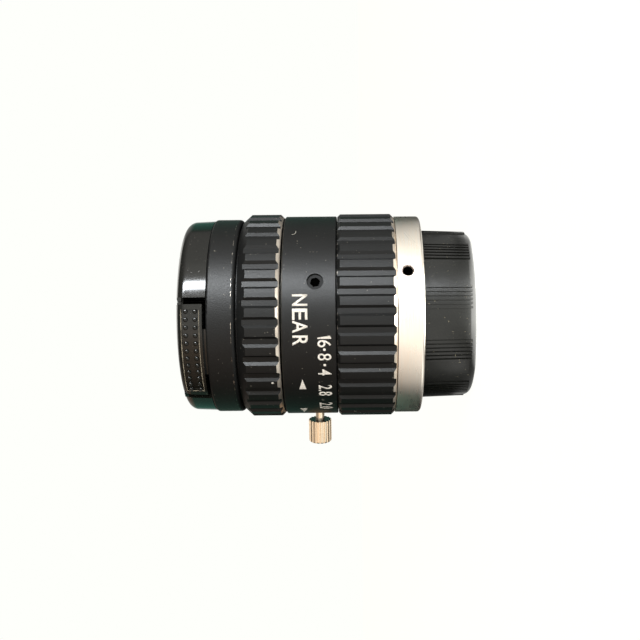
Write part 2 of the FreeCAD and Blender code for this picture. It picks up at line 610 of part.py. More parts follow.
def glass(label, radius, back, edge, back_curve=None, front_curve=None, hollow_back=False):
    """A lens element with a flat rim, a bulging front and a bulging or hollow back."""
    front = f"({back} + {edge})"
    clear = f"({radius} - spacer_wall)"
    blank = primitive("Cylinder", f"{label}_blank", Radius=radius, Height=edge)
    blank.setExpression("Placement.Base.z", bound(back))
    domes = []
    for side, curve, rim in (("front", front_curve, front), ("back", back_curve, back)):
        if curve is None:
            continue
        depth = f"sqrt({curve}^2 - {clear}^2)"
        hollow = side == "back" and hollow_back
        centre = f"{rim} - {depth}" if side == "front" or hollow else f"{rim} + {depth}"
        ball = primitive("Sphere", f"{label}_{side}_ball", Radius=curve)
        ball.setExpression("Placement.Base.z", bound(centre))
        if hollow:
            hollow_ball = ball
            continue
        room = primitive("Cylinder", f"{label}_{side}_room", Radius=clear, Height=f"{curve} - {depth}")
        foot = rim if side == "front" else f"{rim} - {curve} + {depth}"
        room.setExpression("Placement.Base.z", bound(foot))
        dome = doc.addObject("Part::Common", f"{label}_{side}_dome")
        dome.Base = ball
        dome.Tool = room
        domes.append(dome)
    piece = blank
    if domes:
        piece = doc.addObject("Part::MultiFuse", f"{label}_body")
        piece.Shapes = [blank, *domes]
    if hollow_back:
        solid = piece
        piece = doc.addObject("Part::Cut", f"{label}_hollowed")
        piece.Base = solid
        piece.Tool = hollow_ball
    piece.Label = label
    return piece


def make_front_group():
    """Glasses, spacers and lock ring inside the sliding sleeve."""
    return [
        glass("inner_glass", GLASS_RAD, GLASS_START, "inner_glass_edge",
              "inner_glass_back_curve", hollow_back=True),
        ring("inner_spacer", f"{GLASS_RAD} - spacer_wall", GLASS_RAD, INNER_GLASS_TOP, MIDDLE_GLASS_BACK),
        glass("middle_glass", GLASS_RAD, MIDDLE_GLASS_BACK, "middle_glass_edge",
              "middle_glass_back_curve", "middle_glass_front_curve"),
        ring("front_spacer", f"{GLASS_RAD} - spacer_wall", GLASS_RAD, MIDDLE_GLASS_TOP, FRONT_GLASS_BACK),
        glass("front_glass", GLASS_RAD, FRONT_GLASS_BACK, "front_glass_edge",
              "front_glass_back_curve", "front_glass_front_curve", hollow_back=True),
        make_front_lock_ring()]


def make_front_lock_ring():
    """Ring that holds the front glass, with two slots for a spanner."""
    front = f"({FRONT_GLASS_TOP} + front_lock_len)"
    bore = f"({GLASS_RAD} - spacer_wall)"
    body = ring("front_lock_ring", bore, FRONT_LOCK_RAD, FRONT_GLASS_TOP, front)
    middle = f"({bore} + {FRONT_LOCK_RAD}) / 2"
    beyond = f"{FRONT_LOCK_RAD} + cut_past"
    sketch = section_sketch(body, "spanner_slot_section", "0")
    draw_outline(sketch, [
        (middle, f"{front} - spanner_slot_depth"), (beyond, f"{front} - spanner_slot_depth"),
        (beyond, f"{front} + cut_past"), (middle, f"{front} + cut_past")])
    slot = revolve(body, sketch, "spanner_slot", "Groove", "2 * spanner_slot_half * 1deg")
    polar_pattern(body, slot, "spanner_slots", PAIR)
    return body


def make_rear_group():
    """Glasses, spacer and lock ring inside the rear cell."""
    return [
        glass("outer_glass", REAR_GLASS_RAD, OUTER_GLASS_BACK, "outer_glass_edge",
              "outer_glass_back_curve", "outer_glass_front_curve"),
        ring("rear_spacer", f"{REAR_GLASS_RAD} - spacer_wall", REAR_GLASS_RAD,
             OUTER_GLASS_TOP, REAR_GLASS_BACK),
        glass("rear_glass", REAR_GLASS_RAD, REAR_GLASS_BACK, "rear_glass_edge",
              "rear_glass_back_curve", "rear_glass_front_curve", hollow_back=True),
        ring("rear_lock_ring", f"{REAR_GLASS_RAD} - spacer_wall", CELL_BORE,
             REAR_GLASS_TOP, f"{REAR_GLASS_TOP} + rear_lock_len")]


# Iris

def make_iris_ring():
    """Ribbed ring with a skirt that runs under the shell."""
    body = turned_piece("iris_ring", [
        (RING_BORE, IRIS_BACK), (f"{RING_RAD} - iris_chamfer", IRIS_BACK),
        (RING_RAD, f"{IRIS_BACK} + iris_chamfer"), (RING_RAD, f"{IRIS_FRONT} - iris_front_chamfer"),
        (f"{RING_RAD} - iris_front_chamfer", IRIS_FRONT), (SKIRT_RAD, IRIS_FRONT),
        (SKIRT_RAD, SKIRT_TOP), (RING_BORE, SKIRT_TOP)])
    rib_grooves(body, "iris_rib_azimuth")
    radial_hole(body, "drive_pin_hole", "drive_pin_azimuth", DRIVE_PIN_Z, "drive_pin_rad",
                length=f"{RING_BORE} + drive_pin_depth")
    return body


def make_drive_pin():
    """Pin that carries the turn of the iris ring to the actuator ring."""
    start = f"{HOUSING_BORE} - drive_pin_depth"
    return radial_pin("iris_drive_pin", "drive_pin_azimuth", DRIVE_PIN_Z, "drive_pin_rad",
                      start, f"{RING_BORE} + drive_pin_depth - ({start})")


def drive_slot(body, name, inner, outer, back, front):
    """A slot along the circle that the drive pin sweeps."""
    sketch = section_sketch(body, f"{name}_sketch", "drive_pin_azimuth - iris_turn / 2")
    draw_outline(sketch, [(inner, back), (outer, back), (outer, front), (inner, front)])
    swing = f"iris_turn + 2 * (drive_pin_rad + pin_gap) / ({inner}) * 180 / pi"
    return revolve(body, sketch, name, "Groove", f"({swing}) * 1deg")


def make_iris_housing():
    """Cup with the stop opening, the pivot holes and a rim around the actuator ring."""
    floor = f"({CELL_FRONT} + housing_floor)"
    body = turned_piece("iris_housing", [
        ("stop_open_rad", CELL_FRONT), (TUBE_BORE, CELL_FRONT),
        (TUBE_BORE, HOUSING_RIM), (HOUSING_BORE, HOUSING_RIM),
        (HOUSING_BORE, floor), ("stop_open_rad", floor)])
    sketch = new_sketch(body, "pivot_hole_sketch", "XY_Plane")
    draw_circle(sketch, PIVOT_CIRCLE_RAD, "0", "pivot_rad + pin_gap")
    hole = extrude(body, sketch, "pivot_hole", kind="Pocket")
    polar_pattern(body, hole, "pivot_holes", "blade_count")
    drive_slot(body, "housing_slot", f"{HOUSING_BORE} - cut_past", f"{TUBE_BORE} + cut_past",
               f"{DRIVE_PIN_Z} - (drive_pin_rad + pin_gap)", f"{HOUSING_RIM} + cut_past")
    return body


def turned_about(point, centre, angle):
    """A point turned about an upright axis through a centre, by an angle in degrees."""
    return centre + FreeCAD.Rotation(FreeCAD.Vector(0, 0, 1), angle).multVec(point - centre)


def drive_path(share):
    """Place of the first blade's drive pin in the actuator ring, at a share of the stroke."""
    axis = FreeCAD.Vector(0, 0, 0)
    pivot = FreeCAD.Vector(size(PIVOT_CIRCLE_RAD), 0, 0)
    resting = turned_about(pivot, axis, size("drive_lead"))
    swung = turned_about(resting, pivot, size("blade_swing") * share)
    return turned_about(swung, axis, -size("iris_turn") * share)


def cam_slot():
    """Cutter for one cam slot, along the one arc that the drive pin nearly follows."""
    first, middle, last = [drive_path(share) for share in (0, 0.5, 1)]
    curve = Part.Arc(first, middle, last).toShape().Curve
    half = size("pivot_rad + pin_gap")

    def beside(point, side):
        away = (point - curve.Center).normalize()
        return point + away * half * side

    def beyond(point, side):
        away = (point - curve.Center).normalize()
        return point + FreeCAD.Vector(0, 0, 1).cross(away) * half * side

    edges = [
        Part.Arc(beside(first, 1), beside(middle, 1), beside(last, 1)),
        Part.Arc(beside(last, 1), beyond(last, -1), beside(last, -1)),
        Part.Arc(beside(last, -1), beside(middle, -1), beside(first, -1)),
        Part.Arc(beside(first, -1), beyond(first, 1), beside(first, 1))]
    face = Part.Face(Part.Wire([edge.toShape() for edge in edges]))
    face.translate(FreeCAD.Vector(0, 0, size(f"{ACTUATOR_BACK} - cut_past")))
    return face.extrude(FreeCAD.Vector(0, 0, size("actuator_len + 2 * cut_past")))


def make_actuator_ring():
    """Ring with one curved cam slot for each blade."""
    outer = f"{HOUSING_BORE} - running_gap"
    body = ring("iris_actuator_blank", "actuator_bore_rad", outer, ACTUATOR_BACK, ACTUATOR_FRONT)
    radial_hole(body, "actuator_pin_hole", "drive_pin_azimuth", DRIVE_PIN_Z, "drive_pin_rad",
                start=f"{HOUSING_BORE} - drive_pin_depth")
    count = int(size("blade_count"))
    copies = []
    for number in range(count):
        copy = cam_slot()
        copy.rotate(FreeCAD.Vector(0, 0, 0), FreeCAD.Vector(0, 0, 1), number * 360 / count)
        copies.append(copy)
    slots = doc.addObject("Part::Feature", "cam_slots")
    slots.Shape = Part.makeCompound(copies)
    cut = doc.addObject("Part::Cut", "iris_actuator_cut")
    cut.Base = body
    cut.Tool = slots
    cut.Label = "iris_actuator_ring"
    return cut


def make_blade(number):
    """One crescent blade with its pivot pin below and its drive pin above."""
    label = f"iris_blade_{number}"
    upright = FreeCAD.Vector(0, 0, 1)
    base_angle = (number - 1) * 360 / size("blade_count")
    layer = f"({BLADE_FLOOR} + {number - 1} * blade_layer)"

    def upright_disc(name, place_angle, circle, radius, low, tall, angle=None):
        centre = FreeCAD.Vector(size(circle), 0, size(low))
        turn = FreeCAD.Rotation(upright, base_angle + place_angle)
        placement = FreeCAD.Placement(turn.multVec(centre), turn)
        disc = primitive("Cylinder", f"{label}_{name}", placement, Radius=radius, Height=tall)
        if angle is not None:
            disc.setExpression("Angle", bound(angle))
        return disc

    sheet_disc = upright_disc("sheet", 0, "0", BLADE_OUT_RAD, layer, "blade_thick", "blade_span * 1deg")
    hollow = upright_disc("hollow", 0, "0", BLADE_IN_RAD, layer, "blade_thick", "blade_span * 1deg")
    crescent = doc.addObject("Part::Cut", f"{label}_crescent")
    crescent.Base = sheet_disc
    crescent.Tool = hollow
    drive = size("drive_lead")
    tip = upright_disc("tip", size("blade_span"), f"({BLADE_IN_RAD} + {BLADE_OUT_RAD}) / 2",
                       f"({BLADE_OUT_RAD} - {BLADE_IN_RAD}) / 2", layer, "blade_thick")
    pivot_lobe = upright_disc("pivot_lobe", 0, PIVOT_CIRCLE_RAD, "lobe_rad", layer, "blade_thick")
    drive_lobe = upright_disc("drive_lobe", drive, PIVOT_CIRCLE_RAD, "lobe_rad", layer, "blade_thick")
    pin_foot = f"({CELL_FRONT} + pin_gap)"
    pivot_pin = upright_disc("pivot_pin", 0, PIVOT_CIRCLE_RAD, "pivot_rad", pin_foot,
                             f"{layer} + blade_thick - {pin_foot}")
    drive_pin = upright_disc("drive_pin", drive, PIVOT_CIRCLE_RAD, "pivot_rad", layer,
                             f"{ACTUATOR_FRONT} - pin_gap - {layer}")
    blade = doc.addObject("Part::MultiFuse", label)
    blade.Shapes = [crescent, tip, pivot_lobe, drive_lobe, pivot_pin, drive_pin]
    blade.Label = label
    return blade


def make_iris_keeper():
    """Thin ring between the housing rim and the lip in the tube."""
    return ring("iris_keeper_ring", "keeper_ring_bore_rad", TUBE_BORE, HOUSING_RIM, LIP_BACK)


def make_lock_screw():
    """Thumb screw with a threaded tip, a thin neck and a fluted knob."""
    body = new_body("iris_lock_screw")
    tip_start = f"({SKIRT_RAD} + tip_gap)"
    tip_end = f"({BARREL_RAD} - tip_gap)"
    steps = (
        ("tip", tip_start, "lock_hole_rad - running_gap", f"{tip_end} - {tip_start}"),
        ("neck", tip_end, "neck_rad", f"{KNOB_START} - {tip_end}"),
        ("knob", KNOB_START, "knob_rad", "knob_len"))
    for name, start, radius, length in steps:
        sketch = facing_sketch(body, f"{name}_circle", "lock_azimuth", start)
        draw_circle(sketch, "0", LOCK_HOLE_Z, radius)
        extrude(body, sketch, f"lock_{name}", length)
    round_edges(body, "knob_round", "knob_edge", ("knob_rad", f"{KNOB_START} + knob_len"), measure=reach_of)
    flute_sketch = facing_sketch(body, "flute_circle", "lock_azimuth", KNOB_START)
    draw_circle(flute_sketch, "knob_rad", LOCK_HOLE_Z, "flute_rad")
    flute = extrude(body, flute_sketch, "knob_flute", kind="Pocket")
    middle = facing_sketch(body, "knob_axis_sketch", "lock_azimuth", KNOB_START)
    middle.AttachmentOffset = middle.AttachmentOffset.multiply(
        FreeCAD.Placement(FreeCAD.Vector(0, size(LOCK_HOLE_Z), 0), FreeCAD.Rotation()))
    middle.setExpression("AttachmentOffset.Base.y", bound(LOCK_HOLE_Z))
    pattern = body.newObject("PartDesign::PolarPattern", "knob_flutes")
    pattern.Originals = [flute]
    pattern.Axis = (middle, ["N_Axis"])
    pattern.Angle = 360.0
    pattern.setExpression("Occurrences", bound("flute_count"))
    body.Tip = pattern
    return body


# Front cap with two pinch latches

def cut_latch_notches(body):
    """Clear the two sectors in which the latches move."""
    sketch = section_sketch(body, f"{body.Label}_notch_section", "latch_azimuth")
    back = f"{SPIGOT_BACK} - cut_past"
    front = f"{CAP_FRONT} + cut_past"
    beyond = f"{CAP_RAD} + cut_past"
    draw_outline(sketch, [
        (NOTCH_FLOOR_RAD, back), (beyond, back), (beyond, front), (NOTCH_FLOOR_RAD, front)])
    notch = revolve(body, sketch, f"{body.Label}_notch", "Groove", "2 * notch_half * 1deg")
    polar_pattern(body, notch, f"{body.Label}_notches", PAIR)


def make_cap_shell():
    """Cap body with a round front edge, a spigot and a middle boss."""
    body = turned_piece("front_cap_shell", [
        ("0", BACK_PLATE_FRONT), ("boss_rad", BACK_PLATE_FRONT), ("boss_rad", CAP_INSIDE),
        (CAP_WALL_RAD, CAP_INSIDE), (CAP_WALL_RAD, SPIGOT_BACK),
        (SPIGOT_RAD, SPIGOT_BACK), (SPIGOT_RAD, CAP_BACK),
        (CAP_RAD, CAP_BACK), (CAP_FRONT_RAD, CAP_FRONT), ("0", CAP_FRONT)])
    round_edges(body, "cap_front_round", "cap_edge", (CAP_FRONT_RAD, CAP_FRONT))
    cut_latch_notches(body)
    return body


def make_cap_back_plate():
    """Plate that closes the cap behind the latches."""
    body = turned_piece("front_cap_back_plate", [
        ("0", BACK_PLATE_BACK), (CAP_WALL_RAD, BACK_PLATE_BACK),
        (CAP_WALL_RAD, BACK_PLATE_FRONT), ("0", BACK_PLATE_FRONT)])
    cut_latch_notches(body)
    return body


def make_latch(label, azimuth):
    """Pinch latch: curved pad with dots, claw and a tongue under the cap front."""
    body = new_body(label)
    pad = section_sketch(body, f"{label}_pad_section", azimuth)
    draw_outline(pad, [
        (CAP_WALL_RAD, PAD_BACK), (CAP_RAD, PAD_BACK),
        (CAP_FRONT_RAD, CAP_FRONT), (CAP_WALL_RAD, CAP_FRONT)])
    revolve(body, pad, f"{label}_pad", angle=f"2 * {PAD_HALF} * 1deg")
    tongue = facing_sketch(body, f"{label}_tongue_sketch", azimuth, TONGUE_IN_RAD)
    draw_outline(tongue, [
        ("-tongue_half", TONGUE_BACK), ("tongue_half", TONGUE_BACK),
        ("tongue_half", TONGUE_FRONT), ("-tongue_half", TONGUE_FRONT)])
    extrude(body, tongue, f"{label}_tongue", f"{CAP_WALL_RAD} + tongue_root - {TONGUE_IN_RAD}")
    claw = section_sketch(body, f"{label}_claw_section", azimuth)
    draw_outline(claw, [
        (CAP_WALL_RAD, SPIGOT_BACK), (f"{FILTER_RAD} - claw_gap", SPIGOT_BACK),
        (f"{FILTER_RAD} - claw_gap", PAD_BACK), (CAP_WALL_RAD, PAD_BACK)])
    revolve(body, claw, f"{label}_claw", angle=f"2 * {CLAW_HALF} * 1deg")
    round_edges(body, f"{label}_round", "cap_edge", (CAP_FRONT_RAD, CAP_FRONT))
    panel = section_sketch(body, f"{label}_panel_section", azimuth)
    floor = f"({CAP_FRONT_RAD} - panel_depth)"
    draw_outline(panel, [
        (floor, f"{PAD_BACK} + panel_margin"), (f"{CAP_RAD} + cut_past", f"{PAD_BACK} + panel_margin"),
        (f"{CAP_RAD} + cut_past", f"{CAP_FRONT} - panel_front_margin"),
        (floor, f"{CAP_FRONT} - panel_front_margin")])
    revolve(body, panel, f"{label}_panel", "Groove", f"2 * {PANEL_HALF} * 1deg")
    middle = f"({PAD_BACK} + panel_margin + {CAP_FRONT} - panel_front_margin) / 2"
    dots = facing_sketch(body, f"{label}_dot_sketch", f"{azimuth} + {DOT_SPAN} / 2", f"{floor} - dot_height")
    draw_circle(dots, "0", f"{middle} - dot_pitch / 2", "dot_rad")
    draw_circle(dots, "0", f"{middle} + dot_pitch / 2", "dot_rad")
    dot = extrude(body, dots, f"{label}_dot", "2 * dot_height")
    polar_pattern(body, dot, f"{label}_dots", "dot_rows", DOT_SPAN)
    return body


def make_latch_spring(label, azimuth):
    """Coil spring between the boss and the end of a latch's tongue."""
    height = size(f"({TONGUE_BACK} + {TONGUE_FRONT}) / 2")
    length = f"({TONGUE_IN_RAD} - boss_rad - 2 * spring_wire)"
    start = size("boss_rad + spring_wire")
    coil = primitive("Helix", f"{label}_coil", radial_placement(size(azimuth), height, start),
                     Radius="spring_rad", Height=length, Pitch=f"{length} / spring_turns")
    doc.recompute()
    edge = coil.Shape.Edges[0]
    first = edge.valueAt(edge.FirstParameter)
    heading = edge.tangentAt(edge.FirstParameter)
    wire = primitive("RegularPolygon", f"{label}_wire", FreeCAD.Placement(
        first, FreeCAD.Rotation(FreeCAD.Vector(0, 0, 1), heading)),
                     Circumradius="spring_wire", Polygon="wire_sides")
    spring = doc.addObject("Part::Sweep", label)
    spring.Sections = [wire]
    spring.Spine = (coil, ["Edge1"])
    spring.Solid = True
    spring.Frenet = True
    spring.Label = label
    return spring


# Rear cap

def make_rear_cap():
    """Screw cap over the mount thread, with groups of fine grip ribs."""
    body = turned_piece("rear_cap", [
        ("0", REAR_END), (REAR_CAP_END_RAD, REAR_END), (REAR_CAP_RAD, REAR_RIM),
        (REAR_CAP_BORE, REAR_RIM), (REAR_CAP_BORE, f"{REAR_END} + rear_cap_floor"),
        ("0", f"{REAR_END} + rear_cap_floor")])
    round_edges(body, "rear_cap_round", "rear_cap_edge", (REAR_CAP_END_RAD, REAR_END))
    root = f"({REAR_CAP_BORE} + {REAR_CAP_END_RAD}) / 2"
    sketch = section_sketch(body, "grip_section", "grip_azimuth + grip_span / 2")
    draw_outline(sketch, [
        (root, f"{REAR_END} + grip_end"), (f"{REAR_CAP_END_RAD} + grip_height", f"{REAR_END} + grip_end"),
        (f"{REAR_CAP_RAD} + grip_height", f"{REAR_RIM} - grip_rim"), (root, f"{REAR_RIM} - grip_rim")])
    rib = revolve(body, sketch, "grip_rib", angle=f"grip_width / {REAR_CAP_RAD} * 180 / pi * 1deg")
    transform = body.newObject("PartDesign::MultiTransform", "grip_ribs")
    transform.Originals = [rib]
    patterns = []
    for name, count, span in (("grip_group", "grip_count", "grip_span"),
                              ("grip_groups_round", "grip_groups", "360")):
        pattern = body.newObject("PartDesign::PolarPattern", name)
        pattern.Axis = (origin_plane(body, "Z_Axis"), [""])
        pattern.setExpression("Angle", bound(f"({span}) * 1deg"))
        pattern.setExpression("Occurrences", bound(count))
        patterns.append(pattern)
    transform.Transformations = patterns
    body.Tip = transform
    return body


def main():
    pieces = [
        make_mount(), make_mount_screws(), make_main_barrel(), make_grub_screws(),
        make_focus_keeper(), make_rear_cell(), *make_rear_group(), make_focus_ring(),
        make_front_barrel(), make_cam_pin(), *make_front_group(), make_iris_ring(),
        make_drive_pin(), make_iris_housing(), make_actuator_ring(), make_iris_keeper(),
        *[make_blade(number) for number in range(1, int(size("blade_count")) + 1)],
        make_lock_screw(), make_cap_shell(), make_cap_back_plate(),
        make_latch("front_cap_latch_a", "latch_azimuth"),
        make_latch("front_cap_latch_b", "latch_azimuth + 180"),
        make_latch_spring("latch_spring_a", "latch_azimuth"),
        make_latch_spring("latch_spring_b", "latch_azimuth + 180"),
        make_rear_cap()]
    doc.recompute()
    for item in doc.Objects:
        if "Invalid" in item.State or "Error" in item.State:
            raise RuntimeError(f"{item.Label} failed: {item.State}")
    for piece in pieces:
        if piece.Shape.isNull() or not piece.Shape.isValid() or not piece.Shape.Solids:
            raise RuntimeError(f"{piece.Label} has no valid shape")
    os.makedirs("parts", exist_ok=True)
    for piece in pieces:
        piece.Shape.exportStep(f"parts/{piece.Label}.step")
        print(f"{piece.Label}: {len(piece.Shape.Solids)} solid(s), {piece.Shape.Volume:.2f} mm3")


if __name__ == "__main__":
    main()
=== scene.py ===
"""Dresses a machine vision lens: anodised barrel and rings, turned and threaded mount, moulded
caps, screws, glasses and painted scales, and sets up the studio around it."""

import math

import bmesh
import bpy
from mathutils import Matrix, Vector


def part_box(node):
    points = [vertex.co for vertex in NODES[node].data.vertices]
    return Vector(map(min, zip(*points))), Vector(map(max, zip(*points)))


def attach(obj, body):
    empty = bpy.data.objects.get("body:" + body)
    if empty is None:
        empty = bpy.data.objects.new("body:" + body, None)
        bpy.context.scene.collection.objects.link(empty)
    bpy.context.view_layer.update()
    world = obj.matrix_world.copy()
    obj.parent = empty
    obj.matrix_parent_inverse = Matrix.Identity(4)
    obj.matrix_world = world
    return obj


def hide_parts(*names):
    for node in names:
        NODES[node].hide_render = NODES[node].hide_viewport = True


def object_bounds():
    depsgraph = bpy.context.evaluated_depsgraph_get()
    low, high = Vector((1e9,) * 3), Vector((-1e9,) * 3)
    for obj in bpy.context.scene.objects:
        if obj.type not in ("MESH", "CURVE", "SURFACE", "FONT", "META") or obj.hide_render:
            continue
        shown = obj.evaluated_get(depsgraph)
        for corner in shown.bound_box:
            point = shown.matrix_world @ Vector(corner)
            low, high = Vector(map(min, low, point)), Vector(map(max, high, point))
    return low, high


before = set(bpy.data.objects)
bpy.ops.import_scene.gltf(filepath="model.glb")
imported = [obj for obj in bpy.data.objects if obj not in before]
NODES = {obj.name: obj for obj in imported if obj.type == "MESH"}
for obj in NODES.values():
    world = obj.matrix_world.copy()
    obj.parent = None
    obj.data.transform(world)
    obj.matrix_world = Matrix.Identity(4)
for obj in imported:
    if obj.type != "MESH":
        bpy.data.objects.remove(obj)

bl_info = {
    "name": "Machine Vision Lens",
    "version": (1, 0, 0),
    "blender": (4, 5, 0),
    "location": "View3D > Sidebar > Lens",
    "description": "Finishes, mount thread and painted scales for a machine vision lens, and its studio",
    "category": "Object",
}

MM = 0.001
CAD_LOW, CAD_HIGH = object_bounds()

BARREL_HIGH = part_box("main_barrel")[1]
IRIS_LOW, IRIS_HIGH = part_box("iris_ring")
FOCUS_LOW, FOCUS_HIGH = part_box("focus_ring")
FRONT_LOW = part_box("front_barrel")[0]
MOUNT_LOW, MOUNT_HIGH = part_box("mount")
CAP_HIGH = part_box("front_cap_shell")[1]
BARREL_RADIUS = BARREL_HIGH.y
RING_RADIUS = FOCUS_HIGH.y
FLANGE_RADIUS = MOUNT_HIGH.y

# Azimuths are in degrees: 0 is towards the camera, 90 is down in the photograph
LATCH_AZIMUTH = 23.0
LOCK_AZIMUTH = 102.0
SET_SCREW_AZIMUTH = -24.0

# Mount: thread, and the burr in each set screw's hole
THREAD_RADIUS = 12.7 * MM
THREAD_PITCH = 25.4 / 32 * MM
THREAD_DEPTH = 0.49 * MM
THREAD_HALF_ANGLE = 30
THREAD_FLAT = 0.05 * MM
THREAD_TOP = -0.4 * MM
THREAD_LEAD_IN = 0.75 * MM
THREAD_LIFT = 0.7 * MM
THREAD_STEPS = 72
SET_SCREWS = 3
SET_SCREW_Z = 2.55 * MM
BURR_SECTION = ((0.99, 0.01), (0.89, -0.05), (0.75, -0.2), (0.99, -0.3))
BURR_SIDES = 32

# Front cap: the latches' dotted panels, and the lips beside their gaps, as azimuth and half width
PANEL_HALF = 26.5
PANEL_FLOOR = 15.37 * MM
PANEL_BACK = CAP_HIGH.z - 3.6 * MM
PANEL_FRONT = CAP_HIGH.z - 0.95 * MM
DOT_ROWS = 12
DOT_SPAN = 51.0
DOT_PITCH = 1.45 * MM
DOT_PROFILE = ((0.37, -0.06), (0.37, 0.0), (0.365, 0.1), (0.345, 0.2), (0.29, 0.27), (0.19, 0.32))
DOT_RISE = 0.345 * MM
DOT_SIDES = 16
LATCH_LIP = (30.05, 0.65)
GAP_LIP = (32.35, 1.15)
LIP_RADII = (14.9 * MM, 15.5 * MM)
LIP_HEIGHTS = (CAP_HIGH.z - 0.9 * MM, CAP_HIGH.z - 0.3 * MM)

# Scales: each mark has its azimuth, and a width in mm for letters and numbers
WORD_Z = 19.12 * MM
WORD = (("N", -7.85, 1.8), ("E", -0.34, 1.74), ("A", 6.25, 1.9), ("R", 13.7, 1.6))
WORD_BOLDNESS = 0.05
SCALE_Z = 15.45 * MM
NUMBERS = (("6", 15.5, 1.15), ("8", 23.1, 1.15), ("4", 32.65, 1.2), ("2.8", 46.2, 2.6), ("2.0", 62.8, 2.6))
NUMBER_BOLDNESS = 0.012
WIDE_NUMBER_BOLDNESS = 0.03
ONE_AZIMUTH = 11.85
SCALE_DOT = 0.22
ARROW = (1.12, 2.16)
NEAR_ARROW = (41.0, 18.97 * MM)
FAR_ARROW = (70.5, 19.09 * MM)
FOCUS_DOT = (0.18, 38.65, 23.59 * MM)
IRIS_DOT = (0.25, 69.0, 10.76 * MM)
SCRATCH_THICKNESS = 0.004 * MM

# Studio
IMAGE_SIDE = 640
CAMERA_DISTANCE = 160 * MM
CAMERA_HEIGHT = 11.65 * MM
CAMERA_ROLL = -0.5
CAMERA_SHIFT = (-29.0, -5.5)
ROOM_AXIS = (0.2, -0.98, 0.0)
LOBE_AXIS = (0.325, -0.946, 0.0)
STRIP_AXIS = (0.588, -0.809, 0.0)

# Kinds of node that the materials use most
MATH = "ShaderNodeMath"
RANGE = "ShaderNodeMapRange"
MIX = "ShaderNodeMix"
VECTOR = "ShaderNodeVectorMath"
SPLIT = "ShaderNodeSeparateXYZ"
SHADER = "ShaderNodeBsdfPrincipled"
BUMP = "ShaderNodeBump"


# Small helpers

def linear(code):
    """Linear colour of an sRGB hex value."""
    channels = [int(code[place:place + 2], 16) / 255 for place in (1, 3, 5)]
    return tuple(
        channel / 12.92 if channel <= 0.04045 else ((channel + 0.055) / 1.055) ** 2.4
        for channel in channels)


def rgba(colour):
    """A colour with full opacity, from a hex value or a colour property."""
    return (*(linear(colour) if isinstance(colour, str) else colour), 1.0)


def outward(azimuth):
    """Unit vector away from the lens axis: azimuth 0 is -Y, 90 is -X."""
    angle = math.radians(azimuth)
    return Vector((-math.sin(angle), -math.cos(angle), 0.0))


def add_node(tree, kind, links=(), **settings):
    """A node with its settings. Its inputs are given in order, or by name or number. Each is a
    value, a socket, or a node whose first output is linked."""
    node = tree.nodes.new(kind)
    for name, value in settings.items():
        setattr(node, name, value)
    for name, value in links.items() if isinstance(links, dict) else enumerate(links):
        if isinstance(value, bpy.types.Node):
            value = value.outputs[0]
        if isinstance(value, bpy.types.NodeSocket):
            tree.links.new(value, node.inputs[name])
        else:
            node.inputs[name].default_value = value
    return node


def new_material(name):
    """An empty material and its node tree."""
    material = bpy.data.materials.new(name)
    material.use_nodes = True
    material.node_tree.nodes.clear()
    return material, material.node_tree


def finished(material, surface):
    """The material, with its surface joined to its output."""
    add_node(material.node_tree, "ShaderNodeOutputMaterial", {"Surface": surface})
    return material


# Patterns and masks

def mottling(tree, patch_mm, detail=2.0, stretch=None):
    """Irregular patches of a real size in mm, fixed to the piece, that stretch draws out in lines."""
    place = add_node(tree, "ShaderNodeTexCoord").outputs["Object"]
    if stretch is not None:
        place = add_node(tree, VECTOR, (place, stretch), operation="MULTIPLY")
    return add_node(tree, "ShaderNodeTexNoise", {
        "Vector": place, "Scale": 1 / (patch_mm * MM), "Detail": detail}).outputs["Fac"]


def radius_and_height(tree):
    """Distance from the lens axis and height along it, in metres, at a point of a piece."""
    place = add_node(tree, "ShaderNodeTexCoord").outputs["Object"]
    across, back, height = add_node(tree, SPLIT, (place,)).outputs
    flat = add_node(tree, "ShaderNodeCombineXYZ", (across, back))
    return add_node(tree, VECTOR, (flat,), operation="LENGTH").outputs["Value"], height


def between(tree, value, low, high, soft):
    """One where a value lies between two limits, with soft ends."""
    rising = add_node(tree, RANGE, (value, low - soft, low + soft))
    falling = add_node(tree, RANGE, (value, high - soft, high + soft, 1.0, 0.0))
    return add_node(tree, MATH, (rising, falling), operation="MULTIPLY")


def bare_chamfer(low, width_mm):
    """Mask for the chamfer that is turned after anodising, at the mount side of a ring."""
    def mask(tree):
        height = radius_and_height(tree)[1]
        normal = add_node(tree, "ShaderNodeNewGeometry").outputs["True Normal"]
        slope = add_node(tree, SPLIT, (normal,)).outputs[2]
        sloped = between(tree, slope, -0.85, -0.5, 0.05)
        near = between(tree, height, low - 0.1 * MM, low + width_mm * MM, 0.01 * MM)
        return add_node(tree, MATH, (sloped, near), operation="MULTIPLY")
    return mask


def worn_edge(edge_height, edge_radius, reach_mm, amount):
    """Mask for an edge that handling has worn bright in patches."""
    def mask(tree):
        radius, height = radius_and_height(tree)
        patchy = mottling(tree, 0.7, detail=3.0)
        across = add_node(tree, MATH, (radius, edge_radius), operation="SUBTRACT")
        along = add_node(tree, MATH, (height, edge_height), operation="SUBTRACT")
        offset = add_node(tree, "ShaderNodeCombineXYZ", (across, along))
        gap = add_node(tree, VECTOR, (offset,), operation="LENGTH").outputs["Value"]
        near = add_node(tree, RANGE, (gap, 0.0, reach_mm * MM, 1.0, 0.0))
        pale_edges = add_node(tree, MATH, (near, patchy), operation="ADD")
        pale_edges = add_node(tree, RANGE, (pale_edges, 1.45 - amount, 1.6 - amount))
        edge = add_node(tree, RANGE, (near, 0.0, 0.05))
        return add_node(tree, MATH, (pale_edges, edge), operation="MULTIPLY")
    return mask


